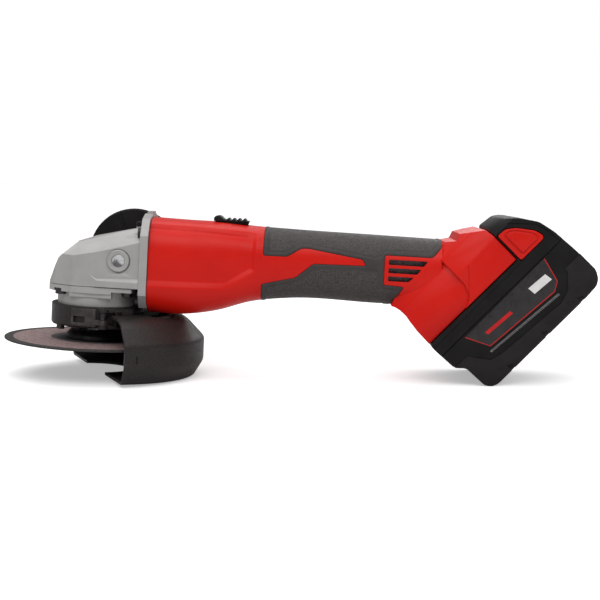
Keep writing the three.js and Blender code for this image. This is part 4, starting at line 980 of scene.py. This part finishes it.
finished(bearing_plate(), "bearing_plate_casting", "cast_alloy", "body", "bearing_plate", smooth=6)

# %% [markdown]
# The spindle group spins together: a black clamping flange, the disc and the nut below it. Each is a
# turned part, so a profile and a lathe are enough. The disc is coloured by ring, as it is printed: a
# bare grey core under the flange, the printed ring, and the bare rim where it cuts.
# %% Disc, flange and nut
disc_radius = 62.5
disc_half = 0.6
disc_bore, core_radius, print_radius = 11.1, 31, 56.8


def rim_point(degrees, radius):
    """The point (x, y) at an angle and a distance from the spindle."""
    return radius * math.cos(math.radians(degrees)), radius * math.sin(math.radians(degrees))


def cutting_disc():
    steps = [disc_bore, 20, 28, core_radius, 40, 48, 56.6, 60, disc_radius - 0.25]
    top = [(r, disc_half + (0.35 if r == core_radius else 0)) for r in steps]
    rim = [(disc_radius, disc_half - 0.3), (disc_radius, -disc_half + 0.3)]
    return turned("z", [(disc_bore, -disc_half), *top, *rim, (disc_radius - 0.25, -disc_half)], 180)


def ring_colours(disc):
    for finish in ("printed_abrasive", "core_abrasive"):
        disc.data.materials.append(finishes[finish])
    back = tool.inverted()
    for face in disc.data.polygons:
        at = back @ face.center
        reach = math.hypot(at.x, at.y)
        if at.z > disc_half / 2 and reach < print_radius:
            face.material_index = 2 if reach < core_radius else 1


disc = finished(cutting_disc(), "abrasive_disc", "bare_abrasive", "spindle_group", "cutting_disc")
ring_colours(disc)
flange_profile = [(7.3, 0.9), (20.6, 0.9), (21, 1.3), (21, 3.6), (20.6, 4.3), (18.2, 6.8), (17.6, 7),
                  (7.3, 7)]
finished(turned("z", flange_profile, 120), "clamping_flange", "black_oxide", "spindle_group", "inner_flange")
nut_profile = [(7.3, -6.9), (16, -6.9), (16.6, -6.7), (19.2, -4.2), (19.5, -3.7), (19.5, -1.2), (19.1, -0.9),
               (7.3, -0.9)]
nut_holes = [rod("z", 2.5, -10, -3.4, (*rim_point(degrees, 13), 0), 32) for degrees in (0, 90, 180, 270)]
nut = cut(turned("z", nut_profile, 120), *nut_holes)
finished(nut, "clamping_nut", "black_oxide", "spindle_group", "lock_nut")

# %% [markdown]
# The guard is pressed from one sheet and rolled under into a lip. A turned profile gives the pressing,
# half of it is kept, and the arc-shaped slot by the collar and a plain turning arrow are cut and raised
# on its upper face. The sheet is thin, so its open edges show how it was folded.
# %% Guard shell
guard_radius, guard_sheet = 74.0, 1.8
guard_top, guard_lip = 20.4, -21.0
lip_radius, lip_inner = 68.0, 25.5
guard_start = -67.0
collar_inner, collar_outer = 28.1, 31.4
pin_angle = -75.0
shoulder = 63.0


def smooth_path(corners, radius, steps=6):
    """An open path whose inner corners are rounded."""
    points = [Vector(point) for point in corners]
    made = [tuple(points[0])]
    for before, corner, after in zip(points, points[1:], points[2:]):
        reach = min(radius, (before - corner).length * 0.45, (after - corner).length * 0.45)
        start = corner + (before - corner).normalized() * reach
        end = corner + (after - corner).normalized() * reach
        for i in range(steps + 1):
            t = i / steps
            made.append(tuple(start * (1 - t) ** 2 + corner * 2 * t * (1 - t) + end * t ** 2))
    return made + [tuple(points[-1])]


def sector(inner, outer, start, end, low, high, steps=24):
    """Part of a ring about the spindle, between two angles in degrees."""
    angles = [start + (end - start) * i / steps for i in range(steps + 1)]
    points = [rim_point(a, outer) for a in angles] + [rim_point(a, inner) for a in reversed(angles)]
    return prism("z", points, low, high)


def guard_shell():
    t = guard_sheet
    start = collar_outer + 0.3
    outer = smooth_path([(start, guard_top), (shoulder - 10, guard_top - 0.2),
                         (shoulder - 4, guard_top - 1.7), (shoulder, guard_top - 4.2), (guard_radius, 5.0),
                         (guard_radius, -10.4), (lip_radius, guard_lip), (lip_inner, guard_lip)], 1.8)
    inner = smooth_path([(start, guard_top - t), (shoulder - 10.4, guard_top - 0.2 - t),
                         (shoulder - 4.6, guard_top - 1.7 - t), (shoulder - 1.2, guard_top - 4.2 - t),
                         (guard_radius - t, 4.2), (guard_radius - t, -10.0),
                         (lip_radius - 1.2, guard_lip + t), (lip_inner, guard_lip + t)], 1.4)
    shell = turned("z", outer + inner[::-1], 180)
    half = prism("z", [rim_point(guard_start, 120), rim_point(guard_start + 90, 170),
                       rim_point(guard_start + 180, 120)], -60, 60)
    slot = sector(42.0, 50.0, -31, 40, guard_top - 4, guard_top + 4)
    block_way = sector(collar_inner, collar_outer + 4.5, pin_angle - 8, pin_angle + 37, 0, 30)
    return cut(keep(shell, half), slot, block_way)


print("guard reaches, mm", guard_radius, "and its lip starts at", lip_inner)

# %% [markdown]
# A pressing carries small marks. A raised arrow shows which way the disc turns, and a short slit near the
# open edge is left by the folding.
# %% Arrow and dimple
def turning_arrow():
    """A raised curved arrow that shows which way the disc turns."""
    tail = sector(53.4, 54.8, -31, -18, guard_top - 0.6, guard_top + 0.25, 10)
    head = prism("z", [rim_point(-18.5, 52.0), rim_point(-18.5, 56.2), rim_point(-14, 54.1)],
                 guard_top - 0.6, guard_top + 0.25)
    return join(tail, head)


def edge_dimple():
    """A short pressed slit near the guard's front edge."""
    x, y = rim_point(guard_start + 6.5, guard_radius)
    return block((x - 0.5, x + 0.5), (y - 1.2, y + 1.2), (-6.5, -1.5))


shell = cut(join(guard_shell(), turning_arrow()), edge_dimple())
finished(shell, "guard_pressing", "powder_coat", "guard", "guard_shell", smooth=28)

# %% [markdown]
# The guard grips the neck by a collar, a ring of black steel with a screw block on it. A lever beside
# the block pulls the ring tight. The lever is a bent plate with a finger slot in it.
# %% Collar and lever
collar_low, collar_high = 10.8, 25.2
lever_low, lever_high = 12.2, 24.6
pin_x, pin_y = rim_point(pin_angle, collar_outer + 3.4)


def guard_collar():
    ring = turned("z", [(collar_inner, collar_low), (collar_outer - 0.9, collar_low),
                        (collar_outer, collar_low + 1.2), (collar_outer, collar_high - 0.4),
                        (collar_outer - 0.4, collar_high), (collar_inner, collar_high)], 144)
    screw_block = rounded_edges(sector(collar_outer - 1, collar_outer + 4, pin_angle + 13, pin_angle + 36,
                                       collar_low, collar_high - 0.8), 0.5, 30)
    tab = sector(collar_inner + 0.2, collar_outer - 0.2, 218, 228, collar_low - 2.4, collar_low + 1)
    made = join(ring, screw_block, tab)
    for low, high in ((lever_low - 1.2, lever_low + 1.2), (lever_high - 2.4, lever_high)):
        ear = sector(collar_outer - 1, collar_outer + 4, pin_angle - 3, pin_angle + 14, low, high)
        made = join(made, ear, rod("z", 3.2, low, high, (pin_x, pin_y, 0)))
    recess = sector(collar_outer + 2.6, collar_outer + 5, pin_angle + 15, pin_angle + 21,
                    collar_low + 2, collar_high - 3)
    return cut(made, rod("z", 1.7, 0, 40, (pin_x, pin_y, 0)), recess)


print("hinge pin at, mm", [round(pin_x, 1), round(pin_y, 1)])

# %% [markdown]
# The lever is a plate bent round the collar, with a window for a fingertip, a raised edge for the thumb
# and an eye that turns on the hinge pin.
# %% Clamp lever
def guard_lever():
    low, high = lever_low + 1.5, lever_high - 2.7
    eye = rod("z", 2.9, low, low + 3.4, (pin_x, pin_y, 0))
    neck = sector(collar_outer + 0.3, collar_outer + 4, pin_angle - 12, pin_angle - 1, low, low + 3.4)
    blade = sector(collar_outer + 0.3, collar_outer + 2.2, pin_angle - 38, pin_angle - 8,
                   lever_low, lever_high - 0.5)
    thumb_edge = sector(collar_outer + 0.3, collar_outer + 4, pin_angle - 12, pin_angle - 9,
                        lever_low, lever_high - 0.5)
    window = sector(collar_outer, collar_outer + 6, pin_angle - 35, pin_angle - 21, low + 1, high - 3)
    made = join(rounded_edges(blade, 0.3, 35, 2), rounded_edges(thumb_edge, 0.4, 35, 2), neck, eye)
    return cut(made, window, rod("z", 1.7, 0, 40, (pin_x, pin_y, 0)))


hinge_pin = rounded_edges(rod("z", 1.45, lever_low - 1.1, lever_high + 0.3, (pin_x, pin_y, 0)), 0.2)
finished(hinge_pin, "lever_hinge_pin", "black_oxide", "guard", "guard_lever_pin")
finished(guard_collar(), "guard_clamp_ring", "powder_coat", "guard", "guard_collar", smooth=30)
finished(guard_lever(), "clamp_lever", "lever_steel", "guard_clamp_lever", "guard_lever", smooth=30)

# %% [markdown]
# The side handle screws into the far socket. Its wide flange keeps the hand off the tool and has ribs
# spread like spokes, and its grip swells in the middle and at its end.
# %% Side handle
flange_radius = 32.6
rib_count = 8
flange_y, handle_end = 50.0, 160.0


def side_handle():
    middle = (handle_x, 0, axle_z)
    profile = [(0, flange_y + 26), (4.3, flange_y + 26), (4.3, 32.5), (10.6, 32.5), (11, 33),
               (12.5, flange_y - 6),
               (15, flange_y - 0.4), (31.6, flange_y + 0.6), (flange_radius, flange_y + 1.6),
               (flange_radius, flange_y + 3.2), (31.8, flange_y + 4.2), (17.6, flange_y + 6.6),
               (15.4, flange_y + 11), (15, flange_y + 16), (15.8, flange_y + 30), (16.7, flange_y + 46),
               (16.9, flange_y + 54), (16.4, flange_y + 66), (14.9, flange_y + 80), (14.3, flange_y + 86),
               (14.6, flange_y + 94), (16.8, flange_y + 101), (18.3, flange_y + 105),
               (18.2, flange_y + 107.6),
               (17, handle_end - 1), (14, handle_end - 0.2), (11, handle_end), (0, handle_end)]
    made = turned("y", profile, 120, middle)
    ribs = []
    for i in range(rib_count):
        turn = Matrix.Rotation(2 * math.pi * (i + 0.5) / rib_count, 4, "Y")
        rib = prism("y", [(-0.8, 11), (0.8, 11), (0.8, 31), (-0.8, 31)], flange_y - 1.0, flange_y + 1.2)
        rib.data.transform(tool @ Matrix.Translation(middle) @ turn @ tool.inverted())
        ribs.append(rib)
    return join(made, *ribs)


finished(side_handle(), "side_handle_moulding", "black_nylon", "body", "side_handle_grip", smooth=30)

# %% [markdown]
# The battery is two mouldings. The upper one carries the rails and the frame round the latches, and the
# lower one holds the cells, with a plate for the label on each side and rubber bumpers round its low
# corners. One outline gives the side view of both, and a second one crosses it from the end.
# %% Battery pack
pack_half = 38.0
pack_side = [(-1.2, -0.3), (79.6, -0.3), (79.6, 24), (81, 26.7), (92, 24.9), (98, 19.8), (106.5, 8),
             (109.2, -4), (110.8, -24), (111, -41), (108, -46.5), (104, -49.2), (93, -50.2), (13, -50.8),
             (8.6, -48.6), (5.9, -44.6), (5.2, -28), (-0.4, -22), (-1.4, -5)]
seam_q = -11.1
gauge_q = -14
latch_outline = [(80.6, 20.4), (87.5, 19.8), (93, 15.6), (100.7, 5.6), (102.2, -0.2), (100.8, -2), (80.6, -2)]
latch_depth, latch_travel = 4.0, 2.5
bumper_zone = [(-9, -22.6), (11.3, -22.8), (14.6, -28), (20.2, -35.4), (27.7, -37.6), (79.8, -41.2),
               (88.9, -38), (97.2, -28.6), (96.9, -26.4), (120, -26.2), (120, -60), (-9, -60)]
label_corners = [(93, -11.7), (88.6, -29.2), (82.2, -33.2), (26.4, -29.3), (18.0, -12.6)]


print("battery half width and seam, mm", pack_half, seam_q)

# %% [markdown]
# The battery's form is its side outline crossed with its end outline, and both cases are cut from it.
# %% The battery's form
def pack_form(half, grow=0.0, round_edge=1.2):
    side = round_corners(grown(pack_side, grow) if grow else pack_side, 2.0)
    across = [(half - 3.6, -52), (half - 0.6, -49), (half, -46), (half, 21.5), (22, 27.5), (22, 30)]
    form = keep(prism("y", side, -50, 50, pack), prism("x", both_ways(across), -10, 130, pack))
    return rounded_edges(form, round_edge, 40)


def layer(low, high):
    return block((-20, 140), (-60, 60), (low, high), pack)


def latch_recess(side):
    inner = pack_half + 0.7 - latch_depth - latch_travel - 0.8
    return on_side(round_corners(grown(latch_outline, sliding), 1.2), side, 60, inner)


def latch_groove(side):
    """The fine line round the latch's frame, from the rail edge over the top to the seam."""
    path = [(78.4, 22.4), (88.2, 23.4), (90.4, 22.3), (103.6, 8.6), (106.3, 0.4), (107.4, -10.6)]
    bits = []
    for (ap, aq), (bp, bq) in zip(path, path[1:]):
        run = math.hypot(bp - ap, bq - aq)
        across = (-(bq - aq) / run * 0.3, (bp - ap) / run * 0.3)
        line = [(ap + across[0], aq + across[1]), (bp + across[0], bq + across[1]),
                (bp - across[0], bq - across[1]), (ap - across[0], aq - across[1])]
        bits.append(on_side(line, side, pack_half - 0.5, 60))
    return bits

# %% [markdown]
# The upper case has rails that hook under the foot, slots for the contacts, recesses for the latches
# and a fine groove round each latch frame.
# %% Upper case
def rails():
    neck = block((rail_start, 80), (-rail_half, rail_half), (-2, rail_top), pack)
    lips = block((rail_start, 80), (-rail_lip_half, rail_lip_half), (rail_lip, rail_top), pack)
    return neck, rounded_edges(lips, 0.5)


def battery_upper():
    shell = keep(pack_form(pack_half), layer(seam_q + 0.2, 60))
    hollow = prism("y", [(4, -60), (108, -60), (108, -24), (106.4, -2.6), (4, -2.6)], -35, 35, pack)
    tower = prism("y", [(83, -4), (83, 20), (91, 20), (96, 16), (103, 6), (104, -4)], -29, 29, pack)
    shell = join(cut(shell, hollow, tower), *rails())
    slots = [block((12, 26), (y - 1.3, y + 1.3), (1.2, 10), pack) for y in (-13.5, -4.5, 4.5, 13.5)]
    line = prism("y", [(-5, -3.4), (84, -3.0), (84, -3.4), (-5, -3.8)], -60, 60, pack)
    line = cut(line, block((-20, 140), (-pack_half + 0.3, pack_half - 0.3), (-20, 20), pack))
    seat = rod("x", 3.9, 90, 130, (0, 0, gauge_q), place=pack)
    rim = cut(layer(seam_q - 0.2, seam_q + 0.7), pack_form(pack_half - 0.45))
    grooves = latch_groove(-1) + latch_groove(1)
    return cut(shell, *slots, latch_recess(-1), latch_recess(1), line, seat, rim, *grooves)

# %% [markdown]
# The lower case is a tub for the cells, with a shallow bed on each side for the label.
# %% Lower case
def battery_lower():
    shell = keep(pack_form(pack_half - 0.7), layer(-80, seam_q - 0.2))
    hollow = prism("y", [(8.2, 0), (108, 0), (108.2, -40), (105.6, -45), (102.6, -47), (12, -47.6),
                         (8.6, -44)], -35, 35, pack)
    label_bed = [on_side(round_corners(label_corners, 0.6), side, pack_half - 1.1, 60) for side in (-1, 1)]
    seat = rod("x", 3.9, 90, 130, (0, 0, gauge_q), place=pack)
    return cut(shell, hollow, seat, *label_bed)

# %% [markdown]
# Rubber bumpers wrap the low corners. They stand a little proud, and short notches along the low edge
# keep them from lifting.
# %% Bumpers
def bumpers():
    zone = prism("y", round_corners(bumper_zone, 1.0), -60, 60, pack)
    form = keep(pack_form(pack_half, 0.25, 1.6), zone)
    form = rounded_edges(form, 0.45, 50, 2)
    form = cut(form, pack_form(pack_half - 1.4, -1.2))
    notches = [on_side([(p, -45.4), (p + 3.4, -47.2), (p + 3.4, -60), (p, -60)], side, 26, 60)
               for p in (25.4, 57, 89.3) for side in (-1, 1)]
    panels = [on_side(round_corners([(p, -42.6), (p + 4, -45.6), (p + 4, -48.6), (p, -48.6)], 0.5),
                      side, pack_half - 0.35, 60)
              for p in (19.5, 63, 82.5) for side in (-1, 1)]
    return cut(form, *notches, *panels)


finished(battery_upper(), "battery_upper_shell", "black_nylon", "battery", "battery_top_case")
finished(battery_lower(), "battery_lower_shell", "black_nylon", "battery", "battery_bottom_case")
finished(bumpers(), "battery_bumpers", "bumper_rubber", "battery", slot="black_plastic")

# %% [markdown]
# The label is a dark printed plate let into the side, with a red line along three of its edges and a
# ribbed grey bar below. It carries no lettering. A stripe and a blank tile keep the balance of the print.
# %% Label and bar
def ribbon(path, width):
    """The outline of a flat line of even width that follows a path."""
    offset = []
    for i, (p, q) in enumerate(path):
        ap, aq = path[max(0, i - 1)]
        bp, bq = path[min(len(path) - 1, i + 1)]
        run = math.hypot(bp - ap, bq - aq)
        offset.append((p + (bq - aq) / run * width, q - (bp - ap) / run * width))
    return list(path) + offset[::-1]


def printed(outline, side):
    """A film of ink on the label plate."""
    return on_side(outline, side, pack_half - 0.8, pack_half - 0.7)


def grey_bar(side):
    """A low bar with slanted grooves along it."""
    bar = [(24.2, -30.9), (82.8, -35.0), (83.1, -36.6), (24.4, -32.4)]
    made = rounded_edges(on_side(bar, side, pack_half - 1.2, pack_half - 0.45), 0.25)
    grooves = []
    for i in range(46):
        p = 25.6 + i * 1.25
        q = -31.0 - (p - 24.2) * 0.07
        groove = [(p, q - 0.2), (p + 0.6, q - 0.2), (p + 0.9, q - 1.3), (p + 0.3, q - 1.3)]
        grooves.append(on_side(groove, side, pack_half - 0.7, pack_half - 0.2))
    return cut(made, *grooves)


# %% [markdown]
# Ink has no thickness worth showing, so each printed shape is a film a tenth of a millimetre thick. Both
# sides get the same pieces.
# %% Both labels
label_line = ribbon([(18.6, -12.9), (26.7, -28.9), (82.0, -32.8), (88.2, -29.0), (92.5, -12.2)], -0.6)
label_tile = [(71, -18.8), (85.5, -19.8), (86.3, -25.4), (71.6, -24.4)]
label_stripe = [(30.5, -19.6), (52, -21.1), (52.6, -23.6), (31, -22.1)]
for side, name in ((-1, "left"), (1, "right")):
    plate = on_side(round_corners(grown(label_corners, -0.15), 0.6), side, pack_half - 1.3, pack_half - 0.75)
    made = [(rounded_edges(plate, 0.15), "label", "label_print", "black_plastic"),
            (printed(label_line, side), "label_line", "red_print", "red_shell"),
            (grey_bar(side), "label_bar", "grey_band", "black_plastic"),
            (printed(label_tile, side), "label_tile", "white_print", "black_plastic"),
            (printed(label_stripe, side), "label_stripe", "red_print", "red_shell")]
    for piece, what, finish, slot in made:
        finished(piece, f"{what}_{name}", finish, "battery", slot=slot)

# %% [markdown]
# The latches are red buttons that slide in when they are squeezed, with a raised pad for the finger.
# Behind them at the end sits the round button of the charge gauge.
# %% Latch buttons and gauge button
latch_pad = [(84.6, 17), (88, 16.6), (91, 14.4), (97.8, 5.4), (98.9, 1.8), (98, 0.9), (84.6, 0.9)]


def latch_button(side):
    face = pack_half + 0.7
    plate = on_side(round_corners(latch_outline, 1.4), side, face, face - latch_depth)
    pad = on_side(round_corners(latch_pad, 1.2), side, face + 0.75, face - 1)
    trench = cut(on_side(round_corners(grown(latch_pad, 0.9), 1.4), side, face - 0.35, 60),
                 prism("y", round_corners(latch_pad, 1.2), -70, 70, pack))
    return join(cut(rounded_edges(plate, 0.8), trench), rounded_edges(pad, 0.5))


finished(latch_button(-1), "latch_left", "red_nylon", "latch_left", "latch_button_left")
finished(latch_button(1), "latch_right", "red_nylon", "latch_right", "latch_button_right")
gauge_profile = [(0, 106.2), (3.6, 106.2), (3.6, 110.5), (3.3, 111), (2.6, 111.2), (0, 111.2)]
gauge = turned("x", gauge_profile, 64, (0, 0, gauge_q), pack)
finished(gauge, "gauge_push_button", "bumper_rubber", "gauge", "gauge_button")

# %% [markdown]
# The spindle lock is a small black push button in front of the lug on the casting's rear flange.
# %% Spindle lock button
lock_x, lock_rim, lock_top = 27.2, 3.3, 82.8
lock_profile = [(0, 74.7), (2.3, 74.7), (2.3, lock_top - 3.4), (lock_rim, lock_top - 3.4),
                (lock_rim, lock_top - 0.9), (lock_rim - 0.3, lock_top - 0.3), (lock_rim - 0.9, lock_top),
                (0, lock_top)]
lock = join(copy_of(frame["nodes"]["spindle_lock_button"]), turned("z", lock_profile, 64, (lock_x, 0, 0)))
finished(lock, "lock_push_button", "black_nylon", "lock_button", "spindle_lock_button", smooth=25)
